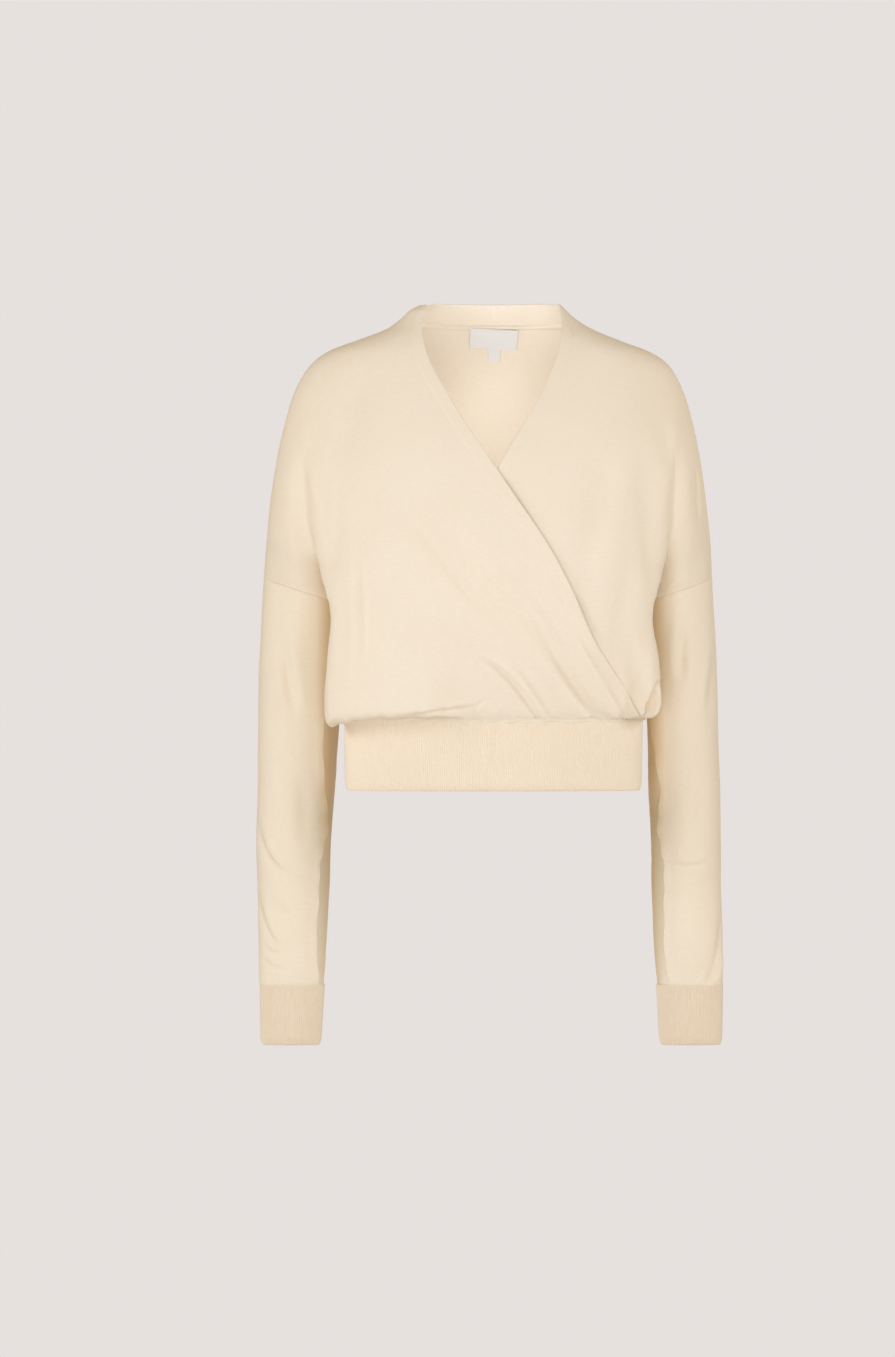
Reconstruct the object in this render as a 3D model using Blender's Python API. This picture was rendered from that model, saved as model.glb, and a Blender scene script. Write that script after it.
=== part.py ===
"""Cropped wrap top in a fine jersey knit, filled out as it is when worn, with nobody in it.

Millimetres inside the tables, metres in the meshes. +Z is up, the fronts face -Y, and the wearer's
right is at -X. The origin is the middle of the neck opening at the top of the neckband, which is
where the garment hangs from the wearer's neck and shoulders.

Each level of the body is one smooth closed section: from the centre front past the side of the
chest, into the crease in front of the arm, round the arm and back to the centre back. The panels
are cut from these sections along the real seam lines, and each gets its wall on the inside.
"""

import math

import bmesh
import bpy
import numpy as np

MM = 0.001
WALL = 1.5  # jersey with its seam allowances
NECK_WALL = 2.0
# From the underarm point to its place inside the wall: x away from the body, y and z.
UNDERARM_INNER = {"front": (-0.3, 0.9, 0.8), "back": (0.3, -1.0, 0.8)}
UNDERARM_GAP = 0.9
UNDERARM_CLEAR = 1.2  # keeps the sleeve's underarm off the body's side
SEAM_GAP = 0.3  # between two pieces that are linked together
THINNEST_CREASE = 0.6  # keeps the wall from running out into a spike behind a sharp crease
LAYER = 2.4  # from the outside of one wrap front to the outside of the other
NECK_STAND = 24.0  # height of the neckband at the back of the neck
WAIST_SEAM_Z = -446.0
HEM_Z = -520.0
CUFF_SEAM_Z = -729.0
CUFF_HEM_Z = -794.0
BAND_RIBS = 360  # a rib and a furrow of the 1x1 rib take about 2.2 mm
BAND_FACET = 12  # outline points of the ribs to each flat of the plain inside
CUFF_RIBS = 72
CUFF_FACET = 6
RIB_HEIGHT = 0.55
BLOUSE_Z = -412.0  # below this the body rolls in to the waistband
SIDES = {"right": -1, "left": 1}

# How far the garment reaches to each side at each height: over the shoulders, then down the
# upper arms.
OUTLINE = [
    # z, right, left
    (0, 76, 75),
    (-5, 86, 80),
    (-16, 98, 92),
    (-27, 115, 110),
    (-37, 141, 135),
    (-48, 171, 166),
    (-59, 188, 185),
    (-70, 198, 195),
    (-91, 210, 206),
    (-123, 220, 216),
    (-166, 230, 225),
    (-209, 237, 231),
    (-252, 241, 236),
    (-289, 244, 238),
    (-325, 246, 240),
]

# Depth of the garment: centre front, the shoulder line and upper arm, and centre back.
DEPTH = [
    # z, front, shoulder, back
    (0, -20, 2, 66),
    (-16, -31, 4, 71),
    (-37, -43, 6, 79),
    (-59, -55, 8, 86),
    (-91, -72, 12, 93),
    (-123, -88, 16, 98),
    (-165, -105, 21, 102),
    (-205, -116, 25, 104),
    (-263, -124, 31, 104),
    (-325, -125, 36, 101),
    (-380, -124, 36, 99),
    (-415, -124, 36, 100),
]

# Sections below the shoulders, seen from above: each line is followed down the body, as (x, y) at
# each of these heights. The arm creases meet the side seams at the underarm point, at -325.
LINE_Z = (-263, -289, -313, -325, -375, -415)
LINES = {
    "mid chest": ((72, -121), (70, -122), (68, -122), (66, -122), (66, -121), (66, -121)),
    "chest turn": ((130, -109), (130, -111), (128, -110), (127, -109), (128, -109), (129, -109)),
    "chest side": ((172, -82), (174, -80), (173, -77), (171, -75), (173, -75), (176, -75)),
    "body side": ((187, -58), (182, -50), (172, -44), (165, -38), (165, -33), (169, -32)),
    "front crease": ((186, -38), (173, -12), (160, 10), (152, 22), (144, 20), (149, 20)),
    "inner arm": ((198, -34), (188, -20), (174, -4), (163, 5)),
    "arm front": ((213, -28), (206, -20), (199, -17), (196, -15)),
    "outer arm": ((235, 2), (236, 3), (235, 4), (235, 5)),
    "arm back": ((235, 62), (236, 65), (235, 67), (235, 68)),
    "back of arm": ((213, 82), (206, 85), (199, 87), (197, 87)),
    "inner back arm": ((198, 84), (187, 82), (173, 72), (162, 61)),
    "back crease": ((187, 80), (176, 66), (161, 42), (152, 22), (144, 20), (149, 20)),
    "back side": ((176, 85), (166, 76), (153, 62), (143, 50), (138, 48), (142, 47)),
    "back turn": ((154, 93), (147, 88), (137, 82), (130, 78), (124, 76), (126, 77)),
    "shoulder blade": ((120, 100), (116, 98), (111, 96), (107, 94), (103, 92), (104, 93)),
    "mid back": ((65, 103), (64, 102), (62, 101), (60, 100), (60, 98), (60, 99)),
}
UNDERARM_Z = -325
ARM_SHARE = {"arm front": 0.5, "back of arm": 0.5, "outer arm": 1.0, "arm back": 1.0}
# Above the chest the section is one rounded oval, and each line runs at a fixed angle on it.
LINE_ANGLE = {
    "centre front": 90, "mid chest": 76, "chest turn": 62, "chest side": 48, "body side": 40,
    "front crease": 33, "inner arm": 27, "arm front": 20, "outer arm": 9, "shoulder line": 0,
    "arm back": -9, "back of arm": -20, "inner back arm": -27, "back crease": -33,
    "back side": -40, "back turn": -48, "shoulder blade": -62, "mid back": -76,
    "centre back": -90,
}
OVAL_POWER = 2.3
NECK_GATHER = 1.7  # near the neck the lines draw together towards the shoulder line
NECK_GATHER_Z = -28.0
CREASE_TOP_Z = -120.0
CREASE_DENT = 9.0  # how deep the arm crease is at the lowest oval
OVAL_BOTTOM_Z = -205.0

# Neck edge of each front, which runs on down as the wrap edge; the right front lies on top.
OUTER_EDGE = [
    # z, x
    (0, -70), (-21, -74), (-43, -72), (-64, -65), (-94, -49), (-129, -28), (-181, 6),
    (-218, 32), (-257, 58), (-308, 85), (-364, 111), (-404, 130), (-446, 152),
]
INNER_EDGE = [
    (0, 73), (-21, 76), (-48, 73), (-72, 65), (-99, 53), (-137, 31), (-168, 13),
    (-181, 6), (-218, -20), (-257, -46), (-308, -73), (-364, -101), (-404, -122), (-446, -146),
]

CROSSING_Z = -181.0
LAYER_START_X = -70.0  # the right front comes forward from here, over LAYER_REACH
LAYER_REACH = 90.0
SINK = 7.0  # how far the hidden part of the left front lies behind the right one
SINK_REACH = 40.0  # over which it gets there, from the right front's edge
SINK_AT_SEAM = 1.5
SEAM_REACH = 35.0  # height above the waistband in which it comes back forward
FOLD_FADE = 25.0  # height above the waistband in which the folds run out
HIDDEN_FADE = 20.0  # and how far under the right front they do

# The waistband, as an oval seen from above.
BAND_CENTRE = (2.5, -12.5)
BAND_HALF = (159.5, 87.5)
BAND_HEM_HALF = (158.0, 86.5)
BAND_POWER = 2.4
BAND_SEAM_Y = 20.0  # where the side seams meet it
LOOP_HALF = 200  # points from a side seam to the centre, when the body is matched to the band
RING_POINTS = 1440  # of the band's fine outline, which that match is read from
OVERHANG = [
    # x, how far the body hangs down over the waistband's seam
    (-170, 13), (-156, 12), (-120, 7), (-85, 2), (-55, 0), (0, 0), (120, 0), (150, 3), (170, 4),
]

OVERHANG_ROOM = 30.0  # how far out the body must lie before it can hang over

# The hanging sleeves: outer and inner side of each, and the depth of both.
SLEEVE = [
    # z, right outer, right inner, left outer, left inner, middle y, half depth
    (-289, 244, 148, 238, 148, 35, 51),
    (-325, 246, 150, 240, 152, 36, 51),
    (-380, 249, 155, 243, 159, 39, 50),
    (-446, 250, 160, 245, 166, 42, 49),
    (-520, 251, 165, 247, 168, 42, 47),
    (-595, 252, 170, 248, 171, 38, 45),
    (-615, 251, 171, 248, 171, 38, 37),
    (-680, 250, 174, 249, 173, 31, 34),
    (-729, 249, 177, 249, 176, 28, 26),
]
CUFF = [
    # z, right outer, right inner, left outer, left inner, middle y, half depth
    (-729, 248, 179, 249, 178, 28, 20),
    (-794, 247, 183, 248, 182, 26, 18),
]
CUFF_POWER = 2.0
SLEEVE_EASE = (1.0, 0.35)  # how far a sleeve's first rings keep the armhole's shape
ARMHOLE_DROP = 36.0  # from the shoulder line's end down to the underarm point
SHOULDER_END_Z = -289.0

# Largest folds of the fronts: soft troughs, from (x, z) through (x, z) to (x, z).
FOLDS = [
    # x0, z0, x1, z1, x2, z2, half width, depth
    (-98, -218, -45, -290, 6, -341, 13, 4.0),
    (-81, -205, -20, -275, 92, -419, 12, 5.0),
    (-57, -217, 25, -310, 108, -423, 11, 4.0),
    (-15, -376, 18, -397, 47, -434, 8, 4.5),
    (-139, -262, -140, -330, -144, -411, 14, 3.5),
    (115, -196, 100, -245, 86, -300, 15, 3.0),
    (141, -262, 140, -330, 138, -403, 12, 3.0),
]

LABEL = {"left": -22.5, "right": 31.0, "top": -25.5, "bottom": -48.0, "thick": 1.0, "turn": 0.4}
SIZE_TAB = {"left": -3.0, "right": 10.5, "top": -48.6, "bottom": -58.5, "thick": 1.0, "turn": 0.4}

CREAM = (0.913, 0.807, 0.638, 1.0)
SLEEVE_CREAM = (0.891, 0.771, 0.564, 1.0)
RIB_CREAM = (0.855, 0.745, 0.560, 1.0)
LABEL_WHITE = (0.905, 0.880, 0.830, 1.0)


def smooth(value):
    value = np.clip(value, 0.0, 1.0)
    return value * value * (3.0 - 2.0 * value)


def curve(knots, values, at):
    """Smooth curve through values (one row per knot, knots rising or falling) at one place."""
    knots = np.asarray(knots, float)
    values = np.asarray(values, float)
    if knots[0] > knots[-1]:
        knots, values = knots[::-1], values[::-1]
    slopes = np.gradient(values, knots, axis=0)
    i = int(np.clip(np.searchsorted(knots, at) - 1, 0, len(knots) - 2))
    span = knots[i + 1] - knots[i]
    t = (min(max(at, knots[0]), knots[-1]) - knots[i]) / span
    return (
        (2 * t**3 - 3 * t**2 + 1) * values[i]
        + (t**3 - 2 * t**2 + t) * span * slopes[i]
        + (3 * t**2 - 2 * t**3) * values[i + 1]
        + (t**3 - t**2) * span * slopes[i + 1]
    )


def from_table(table, at):
    """The columns after the first one of a table, at one value of the first column."""
    rows = np.asarray(table, float)
    return curve(rows[:, 0], rows[:, 1:], at)


# ---------------------------------------------------------------- sections of the body


def oval_lines(side, z):
    """Every line's place on the plain oval section at height z."""
    reach = from_table(OUTLINE, z)[0 if side < 0 else 1]
    front, shoulder, back = from_table(DEPTH, z)
    gather = 1.0 + NECK_GATHER * min(max(1.0 - z / NECK_GATHER_Z, 0.0), 1.0)
    angles = np.array(list(LINE_ANGLE.values())) / 90.0
    angles = np.sign(angles) * np.abs(angles) ** gather * math.pi / 2
    x = reach * np.abs(np.cos(angles)) ** (2 / OVAL_POWER)
    deep = np.where(angles > 0, front, back) - shoulder
    y = shoulder + deep * np.abs(np.sin(angles)) ** (2 / OVAL_POWER)
    dent = CREASE_DENT * smooth((CREASE_TOP_Z - z) / (CREASE_TOP_Z - OVAL_BOTTOM_Z))
    names = list(LINE_ANGLE)
    y[names.index("front crease")] += dent
    y[names.index("back crease")] -= 0.6 * dent
    return np.column_stack([x, y])


def body_lines(side, z):
    """Every line's (x, y) at height z, from the centre front round to the centre back, with x > 0."""
    if z >= OVAL_BOTTOM_Z:
        return oval_lines(side, z)
    knots = [OVAL_BOTTOM_Z + 40, OVAL_BOTTOM_Z, *LINE_Z]
    above = [oval_lines(side, knot) for knot in knots[:2]]
    reach = from_table(OUTLINE, max(z, OUTLINE[-1][0]))[0 if side < 0 else 1]
    front, shoulder, back = from_table(DEPTH, z)
    ends = {"centre front": (0, front), "centre back": (0, back)}
    ends["shoulder line"] = (reach, shoulder)
    narrower = from_table(OUTLINE, max(z, OUTLINE[-1][0]))[0] - reach
    points = []
    for index, name in enumerate(LINE_ANGLE):
        if name in ends:
            points.append(ends[name])
            continue
        places = [lines[index] for lines in above]
        places += [np.array(place, float) for place in LINES[name]]
        if name in ("front crease", "back crease") and z < UNDERARM_Z:
            levels = np.array(LINES[name], float)[LINE_Z.index(UNDERARM_Z) :]
            heights = LINE_Z[LINE_Z.index(UNDERARM_Z) :]
            points.append([np.interp(-z, -np.array(heights), levels[:, c]) for c in (0, 1)])
            continue
        point = curve(knots[: len(places)], places, z)
        points.append(point - (narrower * ARM_SHARE.get(name, 0.0), 0.0))
    return np.array(points, float)


def section(side, z, start, end, samples=12):
    """Dense smooth curve along the section at height z, from one named line to another."""
    names = list(LINE_ANGLE)
    points = body_lines(side, z)
    mirror = points[[1, -2]] * (-1, 1)
    points = np.vstack([mirror[:1], points, mirror[1:]])
    first, last = names.index(start) + 1, names.index(end) + 1
    sharp = smooth((OVAL_BOTTOM_Z - z) / 60.0)
    steps = np.sqrt(np.linalg.norm(np.diff(points, axis=0), axis=1)).clip(1e-3)
    at = np.concatenate([[0], np.cumsum(steps)])
    slopes = np.gradient(points, at, axis=0)
    for name in ("front crease", "back crease"):
        slopes[names.index(name) + 1] *= 1.0 - sharp
    path = []
    order = range(first, last) if first < last else range(first, last, -1)
    for i in order:
        j = i + 1 if first < last else i - 1
        span = at[j] - at[i]
        t = np.linspace(0, 1, samples, endpoint=False)[:, None]
        path.append(
            (2 * t**3 - 3 * t**2 + 1) * points[i]
            + (t**3 - 2 * t**2 + t) * span * slopes[i]
            + (3 * t**2 - 2 * t**3) * points[j]
            + (t**3 - t**2) * span * slopes[j]
        )
    path.append(points[last][None, :])
    return np.vstack(path) * (side, 1)


def resample(path, count):
    """count + 1 points evenly along a path."""
    lengths = np.concatenate([[0], np.cumsum(np.linalg.norm(np.diff(path, axis=0), axis=1))])
    at = lengths[-1] * np.linspace(0, 1, count + 1)
    return np.column_stack([np.interp(at, lengths, path[:, c]) for c in range(path.shape[1])])


def cut_at_x(path, x):
    """The part of a chest path (centre part with x rising or falling) that starts at x."""
    xs = path[:, 0]
    crossing = np.nonzero((xs[:-1] - x) * (xs[1:] - x) <= 0)[0]
    i = crossing[0]
    share = (x - xs[i]) / (xs[i + 1] - xs[i]) if xs[i + 1] != xs[i] else 0.0
    start = path[i] + share * (path[i + 1] - path[i])
    return np.vstack([start[None, :], path[i + 1 :]])


def even_ring(centre, half, power, count):
    """count points evenly round an oval, from the wearer's left by the back, and their normals."""
    turn = np.linspace(0, 2 * math.pi, RING_POINTS + 1)
    c, s = np.cos(turn), np.sin(turn)
    path = np.column_stack([
        centre[0] + np.sign(c) * np.abs(c) ** (2 / power) * half[0],
        centre[1] + np.sign(s) * np.abs(s) ** (2 / power) * half[1],
    ])
    ring = resample(path, count)[:-1]
    along = np.roll(ring, -1, axis=0) - np.roll(ring, 1, axis=0)
    out = np.column_stack([along[:, 1], -along[:, 0]])
    return ring, out / np.linalg.norm(out, axis=1, keepdims=True)


def waist_loop(front):
    """Matching points of the body above its roll and of the waistband's seam, from the wearer's
    right side seam by the centre to the left one."""
    middle, crease = ("centre front", "front crease") if front else ("centre back", "back crease")
    right = section(-1, BLOUSE_Z, crease, middle)
    left = section(1, BLOUSE_Z, middle, crease)
    tops = np.vstack([resample(right, LOOP_HALF)[:-1], resample(left, LOOP_HALF)])
    ring, _ = even_ring(BAND_CENTRE, BAND_HALF, BAND_POWER, RING_POINTS)
    if front:
        ring = np.roll(ring, -RING_POINTS // 4, axis=0)
        ring = ring[ring[:, 1] < BAND_SEAM_Y]
    else:
        ring = np.roll(ring, RING_POINTS // 4, axis=0)
        ring = ring[ring[:, 1] > BAND_SEAM_Y][::-1]
    centre = int(np.abs(ring[:, 0] - BAND_CENTRE[0]).argmin())
    halves = resample(ring[: centre + 1], LOOP_HALF)[:-1], resample(ring[centre:], LOOP_HALF)
    return tops, np.vstack(halves)


def fold_depth(x, z):
    """How deep the front's folds are at a place seen from the front."""
    total = 0.0
    for x0, z0, x1, z1, x2, z2, half, depth in FOLDS:
        t = np.linspace(0, 1, 25)
        fx = (1 - t) ** 2 * x0 + 2 * t * (1 - t) * (2 * x1 - (x0 + x2) / 2) + t**2 * x2
        fz = (1 - t) ** 2 * z0 + 2 * t * (1 - t) * (2 * z1 - (z0 + z2) / 2) + t**2 * z2
        away = np.hypot(fx - x, fz - z)
        near = int(away.argmin())
        fade = math.sin(math.pi * min(max(t[near], 0.04), 0.96)) ** 0.5
        total += depth * fade * math.exp(-((away[near] / half) ** 2))
    return total


# ---------------------------------------------------------------- meshes


def normals(grid, present):
    """Normal at each point of a grid: the mean of its cells' unit normals, and its length."""
    first = grid[1:, 1:] - grid[:-1, :-1]
    second = grid[1:, :-1] - grid[:-1, 1:]
    cells = np.cross(first, second)
    cells /= np.linalg.norm(cells, axis=2, keepdims=True).clip(1e-9)
    cells[~present] = 0.0
    total = np.zeros(grid.shape)
    count = np.zeros(grid.shape[:2])
    rows, columns = present.shape
    for dr, dc in ((0, 0), (0, 1), (1, 0), (1, 1)):
        total[dr : rows + dr, dc : columns + dc] += cells
        count[dr : rows + dr, dc : columns + dc] += present
    mean = total / count[:, :, None].clip(1)
    length = np.linalg.norm(mean, axis=2, keepdims=True).clip(1e-9)
    return mean / length, length


def wall_behind(grid, present, turn, wall):
    """The inner points of a sheet, an even wall behind it, also in its creases."""
    out, length = normals(grid, present)
    return grid - turn * out * wall / length.clip(THINNEST_CREASE)


def square_seams(grid, inner, shoulder, first, last, behind):
    """Turn a body panel's rims square to its seams, so that they lie along its neighbours' rims.
    Columns first and last are the side seams, with the arms beyond them. The wall is behind the
    creases, at +Y in a front and -Y in the back."""
    inner[:shoulder, 0 if first else -1, 1] = grid[:shoulder, 0 if first else -1, 1]
    inner[:shoulder, -1, 1] = grid[:shoulder, -1, 1]
    inner[shoulder - 1, :first, 2] = grid[shoulder - 1, :first, 2]
    inner[shoulder - 1, last + 1 :, 2] = grid[shoulder - 1, last + 1 :, 2]
    for column in {first, last} - {0}:
        inner[shoulder:, column, 1] = grid[shoulder:, column, 1]
        point = grid[shoulder - 1, column]
        point[1] -= behind * UNDERARM_GAP
        step = UNDERARM_INNER["front" if behind > 0 else "back"]
        inner[shoulder - 1, column] = point + np.array(step) * (math.copysign(1, point[0]), 1, 1)
    inner[-1, :, 2] = grid[-1, :, 2]


def material(name, colour):
    """Matt knitted cloth of one colour."""
    made = bpy.data.materials.new(name)
    made.use_nodes = True
    shader = made.node_tree.nodes["Principled BSDF"]
    shader.inputs["Base Color"].default_value = colour
    shader.inputs["Roughness"].default_value = 0.85
    shader.inputs["Metallic"].default_value = 0.0
    return made


def add_object(name, points, faces, finish):
    """One closed piece from points in millimetres."""
    mesh = bpy.data.meshes.new(name)
    mesh.from_pydata([tuple(point * MM) for point in points], [], faces)
    mesh.materials.append(finish)
    shape = bmesh.new()
    shape.from_mesh(mesh)
    bmesh.ops.recalc_face_normals(shape, faces=shape.faces)
    bmesh.ops.triangulate(shape, faces=[face for face in shape.faces if len(face.verts) > 3])
    shape.to_mesh(mesh)
    shape.free()
    mesh.shade_smooth()
    mesh.set_sharp_from_angle(angle=math.radians(40))
    made = bpy.data.objects.new(name, mesh)
    bpy.context.collection.objects.link(made)
    return made


def halves(ring, points):
    """The two triangles of a four-sided cell, cut along its shorter diagonal."""
    a, b, c, d = ring
    across = np.linalg.norm(points[a] - points[c]), np.linalg.norm(points[b] - points[d])
    if across[0] <= across[1]:
        return [[a, b, c], [a, c, d]]
    return [[a, b, d], [b, c, d]]


def add_wall(name, outer, inner, present, finish):
    """A sheet with a wall: two grids of points, their cells where present, and rims all round."""
    rows, columns = present.shape
    used = np.zeros((rows + 1, columns + 1), bool)
    for dr in (0, 1):
        for dc in (0, 1):
            used[dr : rows + dr, dc : columns + dc] |= present
    index = -np.ones(used.shape, int)
    index[used] = np.arange(used.sum())
    count = int(used.sum())
    points = np.vstack([outer[used], inner[used]])
    faces = []
    for r, c in zip(*np.nonzero(present)):
        ring = [index[r, c], index[r, c + 1], index[r + 1, c + 1], index[r + 1, c]]
        for face in halves(ring, points):
            faces.append(face)
            faces.append([k + count for k in reversed(face)])
        sides = [((r - 1, c), 0), ((r, c + 1), 1), ((r + 1, c), 2), ((r, c - 1), 3)]
        for (nr, nc), k in sides:
            inside = 0 <= nr < rows and 0 <= nc < columns
            if inside and present[nr, nc]:
                continue
            a, b = ring[k], ring[(k + 1) % 4]
            faces.append([b, a, a + count, b + count])
    return add_object(name, points, faces, finish)


def add_tube(name, outer, inner, finish):
    """An open tube: rings of outer points and rings of inner points, each closed on itself."""
    rows, around = outer.shape[:2]
    count = rows * around
    points = np.vstack([outer.reshape(-1, 3), inner.reshape(-1, 3)])
    faces = []
    for r in range(rows - 1):
        for c in range(around):
            d = (c + 1) % around
            ring = [r * around + c, r * around + d, (r + 1) * around + d, (r + 1) * around + c]
            for face in halves(ring, points):
                faces.append(face)
                faces.append([k + count for k in reversed(face)])
    for c in range(around):
        d = (c + 1) % around
        faces.append([d, c, c + count, d + count])
        low = (rows - 1) * around
        faces.append([low + c, low + d, low + d + count, low + c + count])
    return add_object(name, points, faces, finish)


def add_ribbed_tube(name, top, bottom, ribs, per_facet, finish):
    """A ribbed band between two ovals: ribs stand on its outside, over a plain inside of fewer
    facets. Each end is (z, centre, half sizes, power)."""
    outside = 2 * ribs
    facets = outside // per_facet
    raised = RIB_HEIGHT * (np.arange(outside) % 2)[:, None]
    points = []
    for z, centre, half, power in (top, bottom):
        ring, out = even_ring(centre, half, power, outside)
        flat = np.vstack([ring + out * raised, (ring - out * WALL)[::per_facet]])
        points.append(np.column_stack([flat, np.full(len(flat), z)]))
    ring = outside + facets
    faces = []
    for k in range(outside):
        n = (k + 1) % outside
        faces.append([k, n, n + ring, k + ring])
    for k in range(facets):
        n = (k + 1) % facets
        faces.append([outside + n, outside + k, outside + k + ring, outside + n + ring])
        edge = [(k * per_facet + step) % outside for step in range(per_facet + 1)]
        for base in (0, ring):
            faces.append([base + j for j in (*edge, outside + n, outside + k)])
    return add_object(name, np.vstack(points), faces, finish)


# ---------------------------------------------------------------- body panels

SHOULDER_ROWS = (
    0, -6, -12, -19, -26, -33, -40, -47, -54, -62, -72, -86, -104, -126, -150, -175, -200,
    -222, -243, -262, -277, -289,
)
BODY_ROWS = (-338, -352, -367, -382, -397, BLOUSE_Z)
ARM_COLUMNS = 8
RIGHT_COLUMNS = 22
LEFT_COLUMNS = 14
BACK_COLUMNS = 14
ROLL = [
    # share of the way out from the waistband to the body, z, how much of the overhang
    (1.0, -424, 0.25),
    (0.93, -432, 0.7),
    (0.70, -437.5, 1.0),
    (0.36, -440.5, 0.5),
    (0.05, -442.4, 0.0),
    (0.0, WAIST_SEAM_Z + SEAM_GAP, 0.0),
]
LEVEL_ROWS = 1  # the last row of a panel stands upright on the waistband


def torso_z(z):
    """Height of a row on the body, given its height at the shoulder line and the upper arm."""
    return z - ARMHOLE_DROP * (z / SHOULDER_END_Z) ** 2


def arm_row(side, z, crease):
    """One row over the arm, from the crease to the shoulder line, dropping towards the crease."""
    row = []
    for k in range(ARM_COLUMNS + 1):
        share = 1 - k / ARM_COLUMNS
        level = z + (torso_z(z) - z) * share**1.4
        path = resample(section(side, level, crease, "shoulder line"), ARM_COLUMNS)
        row.append([*path[k], level])
    return np.array(row)


def front_row(side, z, edge_x, columns):
    """One row of a front, from its edge across the chest to the crease or the side seam."""
    near = section(-side, z, "chest side", "centre front")
    far = section(side, z, "centre front", "front crease")
    path = cut_at_x(np.vstack([near[:-1], far]), edge_x)
    return np.column_stack([resample(path, columns), np.full(columns + 1, z)])


def roll_rows(front, columns, edge, side):
    """Rows that carry the body's last level in, under and up to the waistband's seam."""
    tops, seats = waist_loop(front)
    room = smooth(np.linalg.norm(tops - seats, axis=1) / OVERHANG_ROOM)
    hang = np.array([from_table(OVERHANG, x)[0] for x in seats[:, 0]]) * room
    index = np.arange(len(tops))
    rows = []
    for share, z, part in ROLL:
        loop = np.column_stack([seats + share * (tops - seats), z - part * hang])
        start, end = 0.0, index[-1]
        if edge:
            chest = np.abs(index - LOOP_HALF) < 0.9 * LOOP_HALF
            start = np.interp(from_table(edge, z)[0], loop[chest, 0], index[chest])
            end = 0.0 if side < 0 else index[-1]
        at = np.linspace(start, end, columns + 1)
        rows.append(np.column_stack([np.interp(at, index, loop[:, c]) for c in range(3)]))
    return rows


def lift_right(x, z):
    """The right front lies on top: a layer out once past the centre. Also its share of the folds."""
    return LAYER * smooth((x - LAYER_START_X) / LAYER_REACH), 1.0


def lift_left(x, z):
    """The left front lies a layer below, and sinks clear of the right one's folds where hidden."""
    hidden = from_table(OUTER_EDGE, min(z, 0.0))[0] - x if z < CROSSING_Z else 0.0
    sink = SINK_AT_SEAM + (SINK - SINK_AT_SEAM) * smooth((z - WAIST_SEAM_Z) / SEAM_REACH)
    above = lift_right(x, z)[0] - LAYER
    return above - sink * smooth(hidden / SINK_REACH), 1.0 - smooth(hidden / HIDDEN_FADE)


def mask(shoulder_rows, rows, columns, arms_left, arms_right):
    """Which cells of a panel are cloth: below the armholes the arm columns end."""
    present = np.ones((rows - 1, columns - 1), bool)
    present[shoulder_rows - 1 :, :arms_left] = False
    present[shoulder_rows - 1 :, columns - 1 - arms_right :] = False
    return present


def build_front(name, side, edge, columns, lift, finish):
    """A front: its edge first, then the chest, then the arm down to the armhole."""
    grid = []
    for z in SHOULDER_ROWS:
        level = torso_z(z)
        chest = front_row(side, level, from_table(edge, level)[0], columns)
        grid.append(np.vstack([chest, arm_row(side, z, "front crease")[1:]]))
    spare = grid[-1][columns + 1 :]
    for z in BODY_ROWS:
        grid.append(np.vstack([front_row(side, z, from_table(edge, z)[0], columns), spare]))
    for row in roll_rows(True, columns, edge, side):
        grid.append(np.vstack([row, spare]))
    grid = np.array(grid)
    shoulder = len(SHOULDER_ROWS)
    present = mask(shoulder, grid.shape[0], grid.shape[1], 0, ARM_COLUMNS)
    out, _ = normals(grid, present)
    out *= -side
    out[-LEVEL_ROWS:, :, 2] = 0.0
    out /= np.linalg.norm(out, axis=2, keepdims=True).clip(1e-9)
    for r, c in np.ndindex(grid.shape[0], columns + 1):
        x, _, z = grid[r, c]
        rise, folded = lift(x, z)
        fade = smooth((z - WAIST_SEAM_Z) / FOLD_FADE) * smooth((columns - c) / 3.0)
        dip = fold_depth(x, z) * folded * fade
        grid[r, c] += out[r, c] * (rise * smooth((columns - c) / 2.0) - dip)
    grid[:shoulder, -1, 1] -= SEAM_GAP
    grid[shoulder - 1 :, columns, 1] -= SEAM_GAP
    inner = wall_behind(grid, present, -side, WALL)
    square_seams(grid, inner, shoulder, 0, columns, 1)
    return add_wall(name, grid, inner, present, finish)


def back_row(z):
    """One row of the back, over the right arm, across the back and over the left arm."""
    level = torso_z(z)
    right = section(-1, level, "back crease", "centre back")
    left = section(1, level, "centre back", "back crease")
    middle = resample(np.vstack([right[:-1], left]), BACK_COLUMNS)
    middle = np.column_stack([middle, np.full(BACK_COLUMNS + 1, level)])
    arms = [arm_row(side, z, "back crease") for side in (-1, 1)]
    return np.vstack([arms[0][:0:-1], middle, arms[1][1:]])


def build_back(finish):
    top = -NECK_STAND - SEAM_GAP
    shoulder_rows = [top] + [z for z in SHOULDER_ROWS if z < top - 1]
    grid = [back_row(z) for z in shoulder_rows]
    ends = grid[-1][:ARM_COLUMNS], grid[-1][-ARM_COLUMNS:]
    for z in BODY_ROWS:
        right = section(-1, z, "back crease", "centre back")
        left = section(1, z, "centre back", "back crease")
        row = resample(np.vstack([right[:-1], left]), BACK_COLUMNS)
        row = np.column_stack([row, np.full(len(row), z)])
        grid.append(np.vstack([ends[0], row, ends[1]]))
    for row in roll_rows(False, BACK_COLUMNS, None, 0):
        grid.append(np.vstack([ends[0], row, ends[1]]))
    grid = np.array(grid)
    present = mask(len(shoulder_rows), grid.shape[0], grid.shape[1], ARM_COLUMNS, ARM_COLUMNS)
    inner = wall_behind(grid, present, 1, WALL)
    last = grid.shape[1] - 1 - ARM_COLUMNS
    square_seams(grid, inner, len(shoulder_rows), ARM_COLUMNS, last, -1)
    return add_wall("back", grid, inner, present, finish)


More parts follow.
